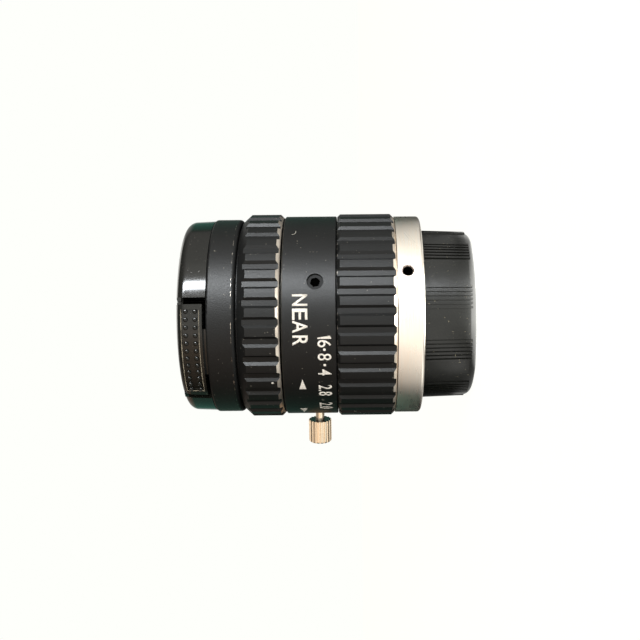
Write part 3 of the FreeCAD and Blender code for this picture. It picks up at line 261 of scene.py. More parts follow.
def pad_frame_highlight(tree):
    """Mask for the edges round a latch's dotted panel, where a pale highlight is painted."""
    line, soft = 0.13 * MM, 0.03 * MM
    place = add_node(tree, "ShaderNodeTexCoord").outputs["Object"]
    turn = math.radians(LATCH_AZIMUTH)
    across = add_node(tree, VECTOR, (place, (-math.cos(turn), math.sin(turn), 0.0)),
                      operation="DOT_PRODUCT").outputs["Value"]
    across = add_node(tree, MATH, (across,), operation="ABSOLUTE")
    radius, height = radius_and_height(tree)
    half = PANEL_FLOOR * math.sin(math.radians(PANEL_HALF))
    front = between(tree, height, PANEL_FRONT, PANEL_FRONT + line, soft)
    back = between(tree, height, PANEL_BACK - 0.09 * MM, PANEL_BACK, soft)
    lines = add_node(tree, MATH, (front, back), operation="MAXIMUM")
    inside = between(tree, across, -half, half + 0.15 * MM, 0.05 * MM)
    lines = add_node(tree, MATH, (lines, inside), operation="MULTIPLY")
    along = between(tree, height, PANEL_BACK, PANEL_FRONT, 0.1 * MM)
    ends = between(tree, across, half + 0.02 * MM, half + 0.12 * MM, soft)
    ends = add_node(tree, MATH, (along, ends), operation="MULTIPLY")
    frame_lines = add_node(tree, MATH, (lines, ends), operation="MAXIMUM")
    # Painted highlight: the frame lines are drawn pale, in patches, where the panel's edges catch the light
    outer = add_node(tree, RANGE, (radius, PANEL_FLOOR + 0.1 * MM, PANEL_FLOOR + 0.2 * MM))
    patchy = add_node(tree, RANGE, (mottling(tree, 1.5), 0.35, 0.6, 0.35, 1.0))
    pale_edges = add_node(tree, MATH, (frame_lines, outer), operation="MULTIPLY")
    return add_node(tree, MATH, (pale_edges, patchy), operation="MULTIPLY")


def knob_shoulder_shade(tree):
    """Mask for the face of the thumb screw's knob that looks at the lens, where shade is painted."""
    place = add_node(tree, "ShaderNodeTexCoord").outputs["Object"]
    normal = add_node(tree, "ShaderNodeNewGeometry").outputs["True Normal"]
    out = outward(LOCK_AZIMUTH)
    along = add_node(tree, VECTOR, (place, out), operation="DOT_PRODUCT").outputs["Value"]
    facing = add_node(tree, VECTOR, (normal, out), operation="DOT_PRODUCT").outputs["Value"]
    inward = add_node(tree, RANGE, (facing, -0.5, -0.4, 1.0, 0.0))
    clear = add_node(tree, RANGE, (along, BARREL_RADIUS + 1.0 * MM, BARREL_RADIUS + 1.1 * MM))
    return add_node(tree, MATH, (inward, clear), operation="MULTIPLY")


# Materials

def anodised_aluminium(name, settings, *masks):
    """Black anodised aluminium, bead blasted: dense matte black with a fine grain, a few pale
    specks where the dye is chipped, and bare metal where a mask says so."""
    material, tree = new_material(name)
    # Bead marks are typically near 0.05 mm, too fine to show, so the grain is drawn coarser
    grain = mottling(tree, settings.grain / MM)
    tone = add_node(tree, RANGE, (mottling(tree, 4.0), 0.3, 0.7))
    black = add_node(tree, MIX, {
        0: tone, 6: rgba(settings.anodised_dark), 7: rgba(settings.anodised_light)}, data_type="RGBA")
    specks = add_node(tree, RANGE, (mottling(tree, 0.3, detail=0.0), 0.82, 0.86))
    black = add_node(tree, MIX, {0: specks, 6: black.outputs[2], 7: rgba("#6d6a62")}, data_type="RGBA")
    coat = add_node(tree, SHADER, {
        "Base Color": black.outputs[2], "Roughness": add_node(tree, RANGE, (grain, 0.2, 0.8, 0.40, 0.50)),
        "IOR": 1.34, "Normal": add_node(tree, BUMP, {"Height": grain, "Distance": 0.02 * MM})})
    metal = add_node(tree, SHADER, {
        "Base Color": rgba(settings.bare_metal), "Metallic": 1.0, "Roughness": 0.35,
        "Normal": add_node(tree, BUMP, {"Height": grain, "Distance": 0.004 * MM})})
    share = 0.0
    for mask in masks:
        share = add_node(tree, MATH, (share, mask(tree)), operation="MAXIMUM")
    return finished(material, add_node(tree, "ShaderNodeMixShader", (share, coat, metal)))


def turned_aluminium(settings):
    """Bare aluminium turned on a lathe: bright, with fine rings from the tool all round, which
    draw its highlights out along the axis."""
    material, tree = new_material("turned_aluminium")
    # Tool rings are typically near 0.04 mm apart, too fine to show, so they are drawn coarser
    rings = mottling(tree, 0.09, detail=3.0, stretch=(0.02, 0.02, 1.0))
    smear = add_node(tree, MATH, (rings, mottling(tree, 3.0)), operation="ADD")
    colour = add_node(tree, MIX, {
        0: add_node(tree, RANGE, (rings, 0.3, 0.7)), 6: rgba(settings.bare_metal), 7: rgba("#f4efe6")},
        data_type="RGBA")
    return finished(material, add_node(tree, SHADER, {
        "Base Color": colour.outputs[2], "Metallic": 0.95,
        "Roughness": add_node(tree, RANGE, (smear, 0.7, 1.3, 0.26, 0.34)),
        "Anisotropic": 0.4, "Anisotropic Rotation": 0.25,
        "Normal": add_node(tree, BUMP, {"Height": rings, "Distance": 0.004 * MM})}))


def gloss_abs(settings, name="gloss_moulded_abs", *masks):
    """Black ABS from a polished mould: a hard gloss with hairline scratches and dust, and a pale painted
    highlight where a mask says so."""
    material, tree = new_material(name)
    hairlines = mottling(tree, 0.5, detail=4.0, stretch=(1.0, 1.0, 6.0))
    hairlines = add_node(tree, RANGE, (hairlines, 0.62, 0.75))
    dust = add_node(tree, RANGE, (mottling(tree, 0.3, detail=0.0), 0.81, 0.85))
    colour = add_node(tree, MIX, {
        0: dust, 6: rgba(settings.cap_black), 7: rgba("#4d4b45")}, data_type="RGBA")
    # Where a mask says so, a pale painted highlight
    for mask in masks:
        colour = add_node(tree, MIX, {
            0: mask(tree), 6: colour.outputs[2], 7: rgba("#a8a18f")}, data_type="RGBA")
    dusty = add_node(tree, MATH, (dust, 0.4), operation="MULTIPLY")
    polish = add_node(tree, RANGE, (hairlines, 0.0, 1.0, 0.13, 0.22))
    waves = mottling(tree, 5.0, detail=1.0)
    return finished(material, add_node(tree, SHADER, {
        "Base Color": colour.outputs[2], "IOR": 1.42,
        "Roughness": add_node(tree, MATH, (polish, dusty), operation="ADD"),
        "Normal": add_node(tree, BUMP, {"Height": waves, "Distance": 0.02 * MM})}))


def satin_abs(settings):
    """Black ABS from a lightly blasted mould: satin, with a soft orange-peel wave and dust."""
    material, tree = new_material("satin_moulded_abs")
    grain = mottling(tree, 0.12)
    waves = mottling(tree, 2.5, detail=1.0)
    dust = add_node(tree, RANGE, (mottling(tree, 0.3, detail=0.0), 0.80, 0.84))
    colour = add_node(tree, MIX, {
        0: dust, 6: rgba(settings.rear_cap_black), 7: rgba("#6b6757")}, data_type="RGBA")
    blasted = add_node(tree, BUMP, {"Height": grain, "Distance": 0.002 * MM})
    return finished(material, add_node(tree, SHADER, {
        "Base Color": colour.outputs[2],
        "Roughness": add_node(tree, RANGE, (grain, 0.2, 0.8, 0.2, 0.28)),
        "Normal": add_node(tree, BUMP, {"Height": waves, "Distance": 0.03 * MM, "Normal": blasted})}))


def nickel_plate(settings):
    """Steel turned and nickel plated: a warm bright metal, with painted shade, near black, on the knob's
    shoulder.
    """
    material, tree = new_material("nickel_plated_steel")
    marks = mottling(tree, 1.2, detail=1.0)
    # Painted shade: near black on the knob's shoulder, which faces the barrel
    colour = add_node(tree, MIX, {
        0: knob_shoulder_shade(tree), 6: rgba(settings.nickel), 7: rgba("#0b0d0b")}, data_type="RGBA")
    return finished(material, add_node(tree, SHADER, {
        "Base Color": colour.outputs[2], "Metallic": 0.9,
        "Roughness": add_node(tree, RANGE, (marks, 0.3, 0.7, 0.16, 0.24))}))


def black_oxide_steel():
    """Hardened steel with a black oxide skin: dark grey, with painted shade, near black and without gloss,
    in its sockets.
    """
    material, tree = new_material("black_oxide_steel")
    marks = mottling(tree, 0.2)
    colour = add_node(tree, MIX, {
        0: add_node(tree, RANGE, (marks, 0.35, 0.75)), 6: rgba("#070708"), 7: rgba("#151514")},
        data_type="RGBA")
    face = add_node(tree, SHADER, {
        "Base Color": colour.outputs[2], "Specular IOR Level": 0.1, "Roughness": 0.5,
        "Normal": add_node(tree, BUMP, {"Height": marks, "Distance": 0.006 * MM})})
    # Painted shade: the sockets are near black and dull, so that light on their floors does not show
    socket = add_node(tree, SHADER, {
        "Base Color": rgba("#030303"), "Specular IOR Level": 0.0, "Roughness": 0.8})
    radius = radius_and_height(tree)[0]
    open_air = add_node(tree, RANGE, (radius, BARREL_RADIUS - 0.75 * MM, BARREL_RADIUS - 0.5 * MM))
    return finished(material, add_node(tree, "ShaderNodeMixShader", (open_air, socket, face)))


def blackened_shim():
    """Thin rolled spring steel, blackened: almost black, with a fine rolled grain."""
    material, tree = new_material("rolled_blade_steel")
    grain = mottling(tree, 0.15, stretch=(1.0, 0.15, 1.0))
    colour = add_node(tree, MIX, {0: grain, 6: rgba("#1c1d20"), 7: rgba("#34363b")}, data_type="RGBA")
    return finished(material, add_node(tree, SHADER, {
        "Base Color": colour.outputs[2], "Metallic": 0.8, "Roughness": 0.42,
        "Normal": add_node(tree, BUMP, {"Height": grain, "Distance": 0.002 * MM})}))


def drawn_spring_wire():
    """Spring wire drawn through a die: bright, with faint streaks in its polish."""
    material, tree = new_material("drawn_spring_wire")
    streaks = add_node(tree, RANGE, (mottling(tree, 0.2), 0.2, 0.8, 0.2, 0.35))
    return finished(material, add_node(tree, SHADER, {
        "Base Color": rgba("#b9b6ae"), "Metallic": 1.0, "Roughness": streaks}))


def coated_glass():
    """Polished optical glass with an anti-reflection coating: clear, with a faint violet sheen."""
    material, tree = new_material("polished_coated_glass")
    wiped = add_node(tree, RANGE, (mottling(tree, 6.0), 0.3, 0.7, 0.0, 0.012))
    return finished(material, add_node(tree, SHADER, {
        "Base Color": rgba("#eef4f1"), "Roughness": wiped, "Transmission Weight": 1.0, "IOR": 1.52,
        "Coat Weight": 0.3, "Coat Tint": rgba("#b9a6e8")}))


def engraving_enamel(settings):
    """Enamel wiped into engraved marks: warm white, matte and slightly uneven."""
    material, tree = new_material("engraving_enamel")
    wear = mottling(tree, 0.25, detail=3.0)
    colour = add_node(tree, MIX, {
        0: add_node(tree, RANGE, (wear, 0.55, 0.8)), 6: rgba(settings.paint_white), 7: rgba("#a39c90")},
        data_type="RGBA")
    return finished(material, add_node(tree, SHADER, {
        "Base Color": colour.outputs[2], "Roughness": 0.55,
        "Normal": add_node(tree, BUMP, {"Height": wear, "Distance": 0.006 * MM})}))


def greyed_enamel():
    """The same enamel where grease has darkened it."""
    material, tree = new_material("greyed_enamel")
    wear = mottling(tree, 0.2)
    colour = add_node(tree, MIX, {0: wear, 6: rgba("#3c3c38"), 7: rgba("#77746c")}, data_type="RGBA")
    return finished(material, add_node(tree, SHADER, {"Base Color": colour.outputs[2], "Roughness": 0.6}))


def burnished_aluminium():
    """Aluminium pushed up and polished by a screwdriver, half in its own shadow."""
    material, tree = new_material("burnished_aluminium")
    marks = add_node(tree, RANGE, (mottling(tree, 0.5), 0.4, 0.6))
    colour = add_node(tree, MIX, {0: marks, 6: rgba("#5d5049"), 7: rgba("#b9aaa0")}, data_type="RGBA")
    return finished(material, add_node(tree, SHADER, {
        "Base Color": colour.outputs[2], "Metallic": 0.4, "Roughness": 0.4}))


def scratched_metal():
    """Metal laid bare at the bottom of a scratch: bright and uneven."""
    material, tree = new_material("scratched_metal")
    marks = add_node(tree, RANGE, (mottling(tree, 0.1), 0.3, 0.7, 0.3, 0.5))
    return finished(material, add_node(tree, SHADER, {
        "Base Color": rgba("#d9d6cc"), "Metallic": 0.4, "Roughness": marks}))


def dress(node, material):
    """Gives a CAD node a finish."""
    slots = NODES[node].data.materials
    slots.clear()
    slots.append(material)


# Shapes

def mesh_object(name, shape, materials, body):
    """An object from a bmesh, riding on a body."""
    mesh = bpy.data.meshes.new(name)
    shape.to_mesh(mesh)
    shape.free()
    for material in materials:
        mesh.materials.append(material)
    piece = bpy.data.objects.new(name, mesh)
    bpy.context.scene.collection.objects.link(piece)
    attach(piece, body)
    return piece


def rounded(shape):
    """The same mesh with smooth faces that look outwards."""
    bmesh.ops.recalc_face_normals(shape, faces=shape.faces)
    for face in shape.faces:
        face.smooth = True
    return shape


def add_sector(shape, azimuth, half, inner, outer, low, high):
    """Adds a curved block to a mesh: a piece of ring round an azimuth."""
    corners = []
    for turn in (azimuth - half, azimuth + half):
        for radius in (inner, outer):
            for height in (low, high):
                place = outward(turn) * radius
                corners.append(shape.verts.new((place.x, place.y, height)))
    for face in ((0, 1, 3, 2), (4, 6, 7, 5), (0, 4, 5, 1), (2, 3, 7, 6), (0, 2, 6, 4), (1, 5, 7, 3)):
        shape.faces.new([corners[corner] for corner in face])
    bmesh.ops.recalc_face_normals(shape, faces=shape.faces)


def grip_dots(azimuth):
    """The two rows of domes moulded on a latch's panel."""
    shape = bmesh.new()
    middle = (PANEL_BACK + PANEL_FRONT) / 2
    along = Vector((0, 0, 1))
    angles = [2 * math.pi * step / DOT_SIDES for step in range(DOT_SIDES)]
    for row in range(DOT_ROWS):
        out = outward(azimuth + DOT_SPAN * (row / (DOT_ROWS - 1) - 0.5))
        side = out.cross(along)
        for height in (middle - DOT_PITCH / 2, middle + DOT_PITCH / 2):
            base = out * PANEL_FLOOR + along * height
            rings = []
            for radius, rise in DOT_PROFILE:
                rings.append([shape.verts.new(base + out * rise * MM + (
                    side * math.cos(angle) + along * math.sin(angle)) * radius * MM) for angle in angles])
            top = shape.verts.new(base + out * DOT_RISE)
            foot = shape.verts.new(base + out * DOT_PROFILE[0][1] * MM)
            for step in range(DOT_SIDES):
                after = (step + 1) % DOT_SIDES
                for lower, upper in zip(rings, rings[1:]):
                    shape.faces.new((lower[step], lower[after], upper[after], upper[step]))
                shape.faces.new((rings[-1][step], rings[-1][after], top))
                shape.faces.new((rings[0][after], rings[0][step], foot))
    return rounded(shape)


def thread_cutter():
    """Solid helical V that cuts the mount's thread and runs out below the flange."""
    low = MOUNT_LOW.z - THREAD_LEAD_IN
    count = math.ceil((THREAD_TOP - low) / THREAD_PITCH * THREAD_STEPS)
    run_out = THREAD_STEPS // 5
    tip = THREAD_RADIUS - THREAD_DEPTH
    mouth = THREAD_RADIUS + THREAD_FLAT
    half_mouth = THREAD_FLAT + (mouth - tip) * math.tan(math.radians(THREAD_HALF_ANGLE))
    section = ((tip, -THREAD_FLAT), (tip, THREAD_FLAT), (mouth, half_mouth), (mouth, -half_mouth))
    shape = bmesh.new()
    sections = []
    for step in range(count + 1):
        out = outward(-360 * step / THREAD_STEPS)
        lift = max(0, step - (count - run_out)) / run_out * THREAD_LIFT
        middle = low + THREAD_PITCH * step / THREAD_STEPS
        corners = []
        for radius, height in section:
            place = out * (radius + lift)
            corners.append(shape.verts.new((place.x, place.y, middle + height)))
        sections.append(corners)
    for first, second in zip(sections, sections[1:]):
        for corner in range(4):
            after = (corner + 1) % 4
            shape.faces.new((first[corner], first[after], second[after], second[corner]))
    shape.faces.new(sections[0])
    shape.faces.new(reversed(sections[-1]))
    bmesh.ops.recalc_face_normals(shape, faces=shape.faces)
    return shape


def threaded_mount(material):
    """The mount with its thread cut, in place of the plain one."""
    cutter_mesh = bpy.data.meshes.new("thread_cutter")
    shape = thread_cutter()
    shape.to_mesh(cutter_mesh)
    shape.free()
    cutter = bpy.data.objects.new("thread_cutter", cutter_mesh)
    blank = bpy.data.objects.new("mount_blank", NODES["mount"].data.copy())
    for item in (cutter, blank):
        bpy.context.scene.collection.objects.link(item)
    cut = blank.modifiers.new("thread", "BOOLEAN")
    cut.object = cutter
    cut.operation = "DIFFERENCE"
    cut.solver = "EXACT"
    bpy.context.view_layer.update()
    mesh = bpy.data.meshes.new_from_object(blank.evaluated_get(bpy.context.evaluated_depsgraph_get()))
    whole = bmesh.new()
    whole.from_mesh(mesh)
    bmesh.ops.remove_doubles(whole, verts=whole.verts, dist=0.0005 * MM)
    bmesh.ops.dissolve_degenerate(whole, edges=whole.edges, dist=0.0002 * MM)
    for face in whole.faces:
        face.smooth = True
    if any(not edge.is_manifold for edge in whole.edges):
        raise RuntimeError("the threaded mount has open edges")
    bpy.data.objects.remove(blank)
    bpy.data.objects.remove(cutter)
    piece = mesh_object("threaded_mount", whole, [material], "root")
    piece.data.set_sharp_from_angle(angle=math.radians(28))
    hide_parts("mount")


def burr_ring(azimuth):
    """A thin countersunk ring in the mouth of a screw hole, which follows the flange."""
    shape = bmesh.new()
    rings = []
    for reach, rise in BURR_SECTION:
        ring = []
        for step in range(BURR_SIDES):
            angle = 2 * math.pi * step / BURR_SIDES
            turn = azimuth + math.degrees(reach * math.cos(angle) / (FLANGE_RADIUS / MM))
            place = outward(turn) * (FLANGE_RADIUS + rise * MM)
            ring.append(shape.verts.new((place.x, place.y, SET_SCREW_Z + reach * math.sin(angle) * MM)))
        rings.append(ring)
    for first, second in zip(rings, rings[1:] + rings[:1]):
        for step in range(BURR_SIDES):
            after = (step + 1) % BURR_SIDES
            shape.faces.new((first[step], first[after], second[after], second[step]))
    return rounded(shape)


# Painted marks

def spans(vertices):
    """Lowest and highest place of flat vertices, across and up."""
    across = [vertex.co.x for vertex in vertices]
    up = [vertex.co.y for vertex in vertices]
    return min(across), max(across), min(up), max(up)


def text_shape(text, tall, boldness, wide):
    """A flat bmesh of one string, centred on its middle, with a given height and width in mm."""
    curve = bpy.data.curves.new("lettering", "FONT")
    curve.body = text
    curve.align_x = "CENTER"
    curve.size = 1.0
    curve.resolution_u = 6
    holder = bpy.data.objects.new("lettering", curve)
    bpy.context.scene.collection.objects.link(holder)
    bpy.context.view_layer.update()
    plain = bpy.data.meshes.new_from_object(holder)
    left, right, bottom, top = spans(plain.vertices)
    curve.offset = boldness / (tall / (top - bottom))
    bpy.context.view_layer.update()
    bold = bpy.data.meshes.new_from_object(holder)
    shape = bmesh.new()
    shape.from_mesh(bold)
    bmesh.ops.remove_doubles(shape, verts=shape.verts, dist=0.002)
    left, right, bottom, top = spans(shape.verts)
    scale = tall / (top - bottom)
    for vertex in shape.verts:
        across = (vertex.co.x - (left + right) / 2) * wide / (right - left)
        vertex.co = (across, (vertex.co.y - (top + bottom) / 2) * scale, 0)
    bpy.data.objects.remove(holder)
    bpy.data.curves.remove(curve)
    bpy.data.meshes.remove(plain)
    bpy.data.meshes.remove(bold)
    return shape


def flat_shape(outline):
    """A flat bmesh of one face."""
    shape = bmesh.new()
    shape.faces.new([shape.verts.new((across, up, 0)) for across, up in outline])
    return shape


def figure_one(tall):
    """A flat figure one with a short flag."""
    top = tall / 2
    shape = flat_shape(((0.08, -top), (0.28, -top), (0.28, top), (0.16, top), (-0.2, 0.8 * top),
                        (-0.2, 0.66 * top), (0.08, 0.84 * top)))
    bmesh.ops.triangulate(shape, faces=shape.faces)
    return shape


def disc_shape(radius):
    """A flat round dot."""
    shape = bmesh.new()
    bmesh.ops.create_circle(shape, cap_ends=True, radius=radius, segments=20)
    return shape


def arrow_shape(point):
    """A flat triangle whose tip points along x, towards plus or minus as point says."""
    wide, tall = ARROW
    reach = point * tall / 2
    return flat_shape(((reach, 0), (-reach, wide / 2), (-reach, -wide / 2)))


def ribbon_shape(points, azimuth, height, radius, width):
    """A flat line in mm through points given as azimuth and height, round one place."""
    scale = math.radians(radius / MM)
    flat = [Vector(((turn - azimuth) * scale, (height - rise) / MM, 0)) for turn, rise in points]
    shape = bmesh.new()
    rows = []
    for place, point in enumerate(flat):
        ahead = flat[min(place + 1, len(flat) - 1)] - flat[max(place - 1, 0)]
        side = Vector((-ahead.y, ahead.x, 0)).normalized() * width / 2
        rows.append((shape.verts.new(point + side), shape.verts.new(point - side)))
    for first, second in zip(rows, rows[1:]):
        shape.faces.new((first[0], first[1], second[1], second[0]))
    for face in shape.faces:
        face.normal_update()
    return shape


def bend_onto_barrel(flat, azimuth, height, radius, thickness):
    """Wraps a flat mesh in mm, x round the barrel and y towards the mount, into a thin solid shell."""
    step = 0.25
    start, end = spans(flat.verts)[:2]
    place = math.ceil(start / step) * step
    while place < end:
        everything = flat.verts[:] + flat.edges[:] + flat.faces[:]
        bmesh.ops.bisect_plane(flat, geom=everything, plane_co=(place, 0, 0), plane_no=(1, 0, 0))
        place += step
    for face in flat.faces:
        if face.normal.z < 0:
            face.normal_flip()
    raised = bmesh.ops.extrude_face_region(flat, geom=flat.faces[:])
    outer = {item for item in raised["geom"] if isinstance(item, bmesh.types.BMVert)}
    for vertex in flat.verts:
        reach = radius + (thickness if vertex in outer else -thickness)
        turn = azimuth + math.degrees(vertex.co.x / (radius / MM))
        place = outward(turn) * reach
        vertex.co = (place.x, place.y, height - vertex.co.y * MM)
    bmesh.ops.recalc_face_normals(flat, faces=flat.faces)


def paint_mark(name, shape, azimuth, height, radius, material, body, thickness):
    """One painted mark, wrapped on its surface."""
    bend_onto_barrel(shape, azimuth, height, radius, thickness)
    return mesh_object(name, shape, [material], body)


# Properties

def colour_property(name, description, code):
    """A colour that the user can change."""
    return bpy.props.FloatVectorProperty(
        name=name, description=description, subtype="COLOR", size=3, min=0, max=1, default=linear(code))


def length_property(name, description, default_mm, least_mm):
    """A length that the user can change, in Blender's own units."""
    return bpy.props.FloatProperty(name=name, description=description, unit="LENGTH", precision=5,
                                   default=default_mm * MM, min=least_mm * MM)


class LensSettings(bpy.types.PropertyGroup):
    """Sizes and colours of the lens that a user may change."""
    grain: length_property("Blast grain", "Size of the anodised surface's grain", 0.2, 0.02)
    anodised_dark: colour_property("Anodised dark", "Darker tone of the black anodising", "#070808")
    anodised_light: colour_property("Anodised light", "Lighter tone of the black anodising", "#0c0d0d")
    bare_metal: colour_property("Bare metal", "Turned aluminium", "#fbeede")
    cap_black: colour_property("Front cap", "Gloss black ABS", "#131411")
    rear_cap_black: colour_property("Rear cap", "Satin black ABS", "#121310")
    nickel: colour_property("Nickel", "Nickel plate on the thumb screw", "#fdebd0")
    paint_white: colour_property("Marks", "Enamel in the engraved marks", "#fffbf4")
    word_height: length_property("Word height", "Height of the focus word", 2.34, 0.5)
    number_height: length_property("Number height", "Height of the aperture numbers", 2.1, 0.5)
    paint_thickness: length_property("Paint thickness", "How far the enamel stands proud", 0.014, 0.001)


# Operators

class LensOperator:
    """What all the lens operators share."""
    bl_options = {"REGISTER", "UNDO"}

    @property
    def settings(self):
        """The sizes and colours that the user has set."""
        return bpy.context.scene.lens_settings


class LENS_OT_barrel(LensOperator, bpy.types.Operator):
    """Black anodised barrel, rings, front barrel and inner pieces"""
    bl_idname = "lens.barrel"
    bl_label = "Barrel and rings"

    def execute(self, context):
        settings = self.settings
        plain = anodised_aluminium("blasted_anodised_aluminium", settings)
        shell_foot = worn_edge(IRIS_HIGH.z - 5.53 * MM, BARREL_RADIUS, 0.22, -0.06)
        shell_top = worn_edge(FOCUS_LOW.z - 0.25 * MM, BARREL_RADIUS, 0.2, 0.0)
        dress("main_barrel", anodised_aluminium("anodised_barrel", settings, shell_foot, shell_top))
        floors = worn_edge(IRIS_HIGH.z - 5.78 * MM, RING_RADIUS - 0.4 * MM, 0.2, 0.02)
        dress("iris_ring", anodised_aluminium("anodised_iris_ring", settings,
                                              bare_chamfer(IRIS_LOW.z, 0.56), floors))
        dress("focus_ring", anodised_aluminium("anodised_focus_ring", settings,
                                               bare_chamfer(FOCUS_LOW.z, 0.61)))
        rim = worn_edge(FRONT_LOW.z + 12.2 * MM, 16.05 * MM, 0.16, -0.02)
        dress("front_barrel", anodised_aluminium("anodised_front_barrel", settings, rim))
        for node in ("focus_keeper_ring", "rear_cell", "rear_spacer", "rear_lock_ring", "inner_spacer",
                     "front_spacer", "front_lock_ring", "iris_housing", "iris_actuator_ring",
                     "iris_keeper_ring"):
            dress(node, plain)
        return {"FINISHED"}


class LENS_OT_mount(LensOperator, bpy.types.Operator):
    """Turned aluminium mount with its thread, and burrs in its screw holes"""
    bl_idname = "lens.mount"
    bl_label = "Mount"

    def execute(self, context):
        turned = turned_aluminium(self.settings)
        dress("mount", turned)
        threaded_mount(turned)
        burnished = burnished_aluminium()
        for place in range(SET_SCREWS):
            azimuth = SET_SCREW_AZIMUTH + 360 / SET_SCREWS * place
            rim = mesh_object(f"set_screw_rim_{place + 1}", burr_ring(azimuth), [burnished], "root")
        return {"FINISHED"}


class LENS_OT_screws(LensOperator, bpy.types.Operator):
    """Thumb screw, grub screws, pins and springs"""
    bl_idname = "lens.screws"
    bl_label = "Screws and springs"

    def execute(self, context):
        for nodes, material in (
                (("iris_lock_screw", "focus_cam_pin", "iris_drive_pin"), nickel_plate(self.settings)),
                (("mount_set_screws", "barrel_grub_screws"), black_oxide_steel()),
                (("latch_spring_a", "latch_spring_b"), drawn_spring_wire())):
            for node in nodes:
                dress(node, material)
        return {"FINISHED"}


class LENS_OT_optics(LensOperator, bpy.types.Operator):
    """Glasses and iris blades"""
    bl_idname = "lens.optics"
    bl_label = "Glasses and blades"

    def execute(self, context):
        glass = coated_glass()
        for node in ("outer_glass", "rear_glass", "inner_glass", "middle_glass", "front_glass"):
            dress(node, glass)
        steel = blackened_shim()
        for node in sorted(NODES):
            if node.startswith("iris_blade_"):
                dress(node, steel)
        return {"FINISHED"}


class LENS_OT_caps(LensOperator, bpy.types.Operator):
    """Moulded front and rear caps"""
    bl_idname = "lens.caps"
    bl_label = "Caps"

    def execute(self, context):
        gloss = gloss_abs(self.settings)
        for node in ("front_cap_shell", "front_cap_back_plate"):
            dress(node, gloss)
        # The latches get a pale painted highlight round their panels
        pale_edges = gloss_abs(self.settings, "gloss_abs_painted_highlights", pad_frame_highlight)
        for latch, azimuth in (("front_cap_latch_a", LATCH_AZIMUTH),
                               ("front_cap_latch_b", LATCH_AZIMUTH + 180)):
            dress(latch, pale_edges)
            dots = mesh_object(f"{latch}_dots", grip_dots(azimuth), [gloss], latch)
            for name, (away, half), body in ((f"{latch}_lips", LATCH_LIP, latch),
                                             (f"{latch}_gap_lips", GAP_LIP, "front_cap")):
                lips = bmesh.new()
                for side in (-1, 1):
                    add_sector(lips, azimuth + side * away, half, *LIP_RADII, *LIP_HEIGHTS)
                mesh_object(name, lips, [gloss], body)
        dress("rear_cap", satin_abs(self.settings))
        return {"FINISHED"}


class LENS_OT_marks(LensOperator, bpy.types.Operator):
    """Painted focus word, arrows, aperture scale and index dots, and the scratches"""
    bl_idname = "lens.marks"
    bl_label = "Scales"

    def execute(self, context):
        settings = self.settings
        white = engraving_enamel(settings)
        grey = greyed_enamel()
        thick = settings.paint_thickness
        on_barrel = (BARREL_RADIUS, white, "root", thick)
        for letter, azimuth, wide in WORD:
            shape = text_shape(letter, settings.word_height / MM, WORD_BOLDNESS, wide)
            paint_mark(f"focus_word_{letter}", shape, azimuth, WORD_Z, *on_barrel)
        tall = settings.number_height / MM
        for number, azimuth, wide in NUMBERS:
            boldness = WIDE_NUMBER_BOLDNESS if "." in number else NUMBER_BOLDNESS
            name = "aperture_" + number.replace(".", "_")
            paint_mark(name, text_shape(number, tall, boldness, wide), azimuth, SCALE_Z, *on_barrel)
        paint_mark("aperture_1", figure_one(tall), ONE_AZIMUTH, SCALE_Z, *on_barrel)
        for place, (azimuth, rise, paint) in enumerate(
                ((18.85, 0.0, white), (27.95, 0.0, white), (55.1, 0.45 * MM, grey)), start=1):
            paint_mark(f"aperture_dot_{place}", disc_shape(SCALE_DOT), azimuth, SCALE_Z + rise,
                       BARREL_RADIUS, paint, "root", thick)
        paint_mark("near_arrow", arrow_shape(-1), *NEAR_ARROW, *on_barrel)
        paint_mark("far_arrow", arrow_shape(1), *FAR_ARROW, *on_barrel)
        radius, azimuth, height = FOCUS_DOT
        paint_mark("focus_index_dot", disc_shape(radius), azimuth, height, RING_RADIUS, white,
                   "focus_ring", thick)
        self.make_scratches()
        radius, azimuth, height = IRIS_DOT
        paint_mark("iris_index_dot", disc_shape(radius), azimuth, height, RING_RADIUS, grey,
                   "iris_ring", thick)
        return {"FINISHED"}

    def make_scratches(self):
        """Three scratches: name, radius, width in mm, and points as azimuth and height in mm."""
        metal = scratched_metal()
        for name, radius, width, points in (
                ("shell_scratch", BARREL_RADIUS, 0.09,
                 ((-53.8, 19.95), (-51.6, 20.0), (-50.6, 20.25), (-50.4, 20.6))),
                ("flange_scratch_1", FLANGE_RADIUS, 0.07, ((-51.8, 2.88), (-43.7, 1.93))),
                ("flange_scratch_2", FLANGE_RADIUS, 0.05, ((-53.0, 2.66), (-42.7, 1.18)))):
            points = [(turn, rise * MM) for turn, rise in points]
            azimuth, height = points[0]
            shape = ribbon_shape(points, azimuth, height, radius, width)
            paint_mark(name, shape, azimuth, height, radius, metal, "root", SCRATCH_THICKNESS)


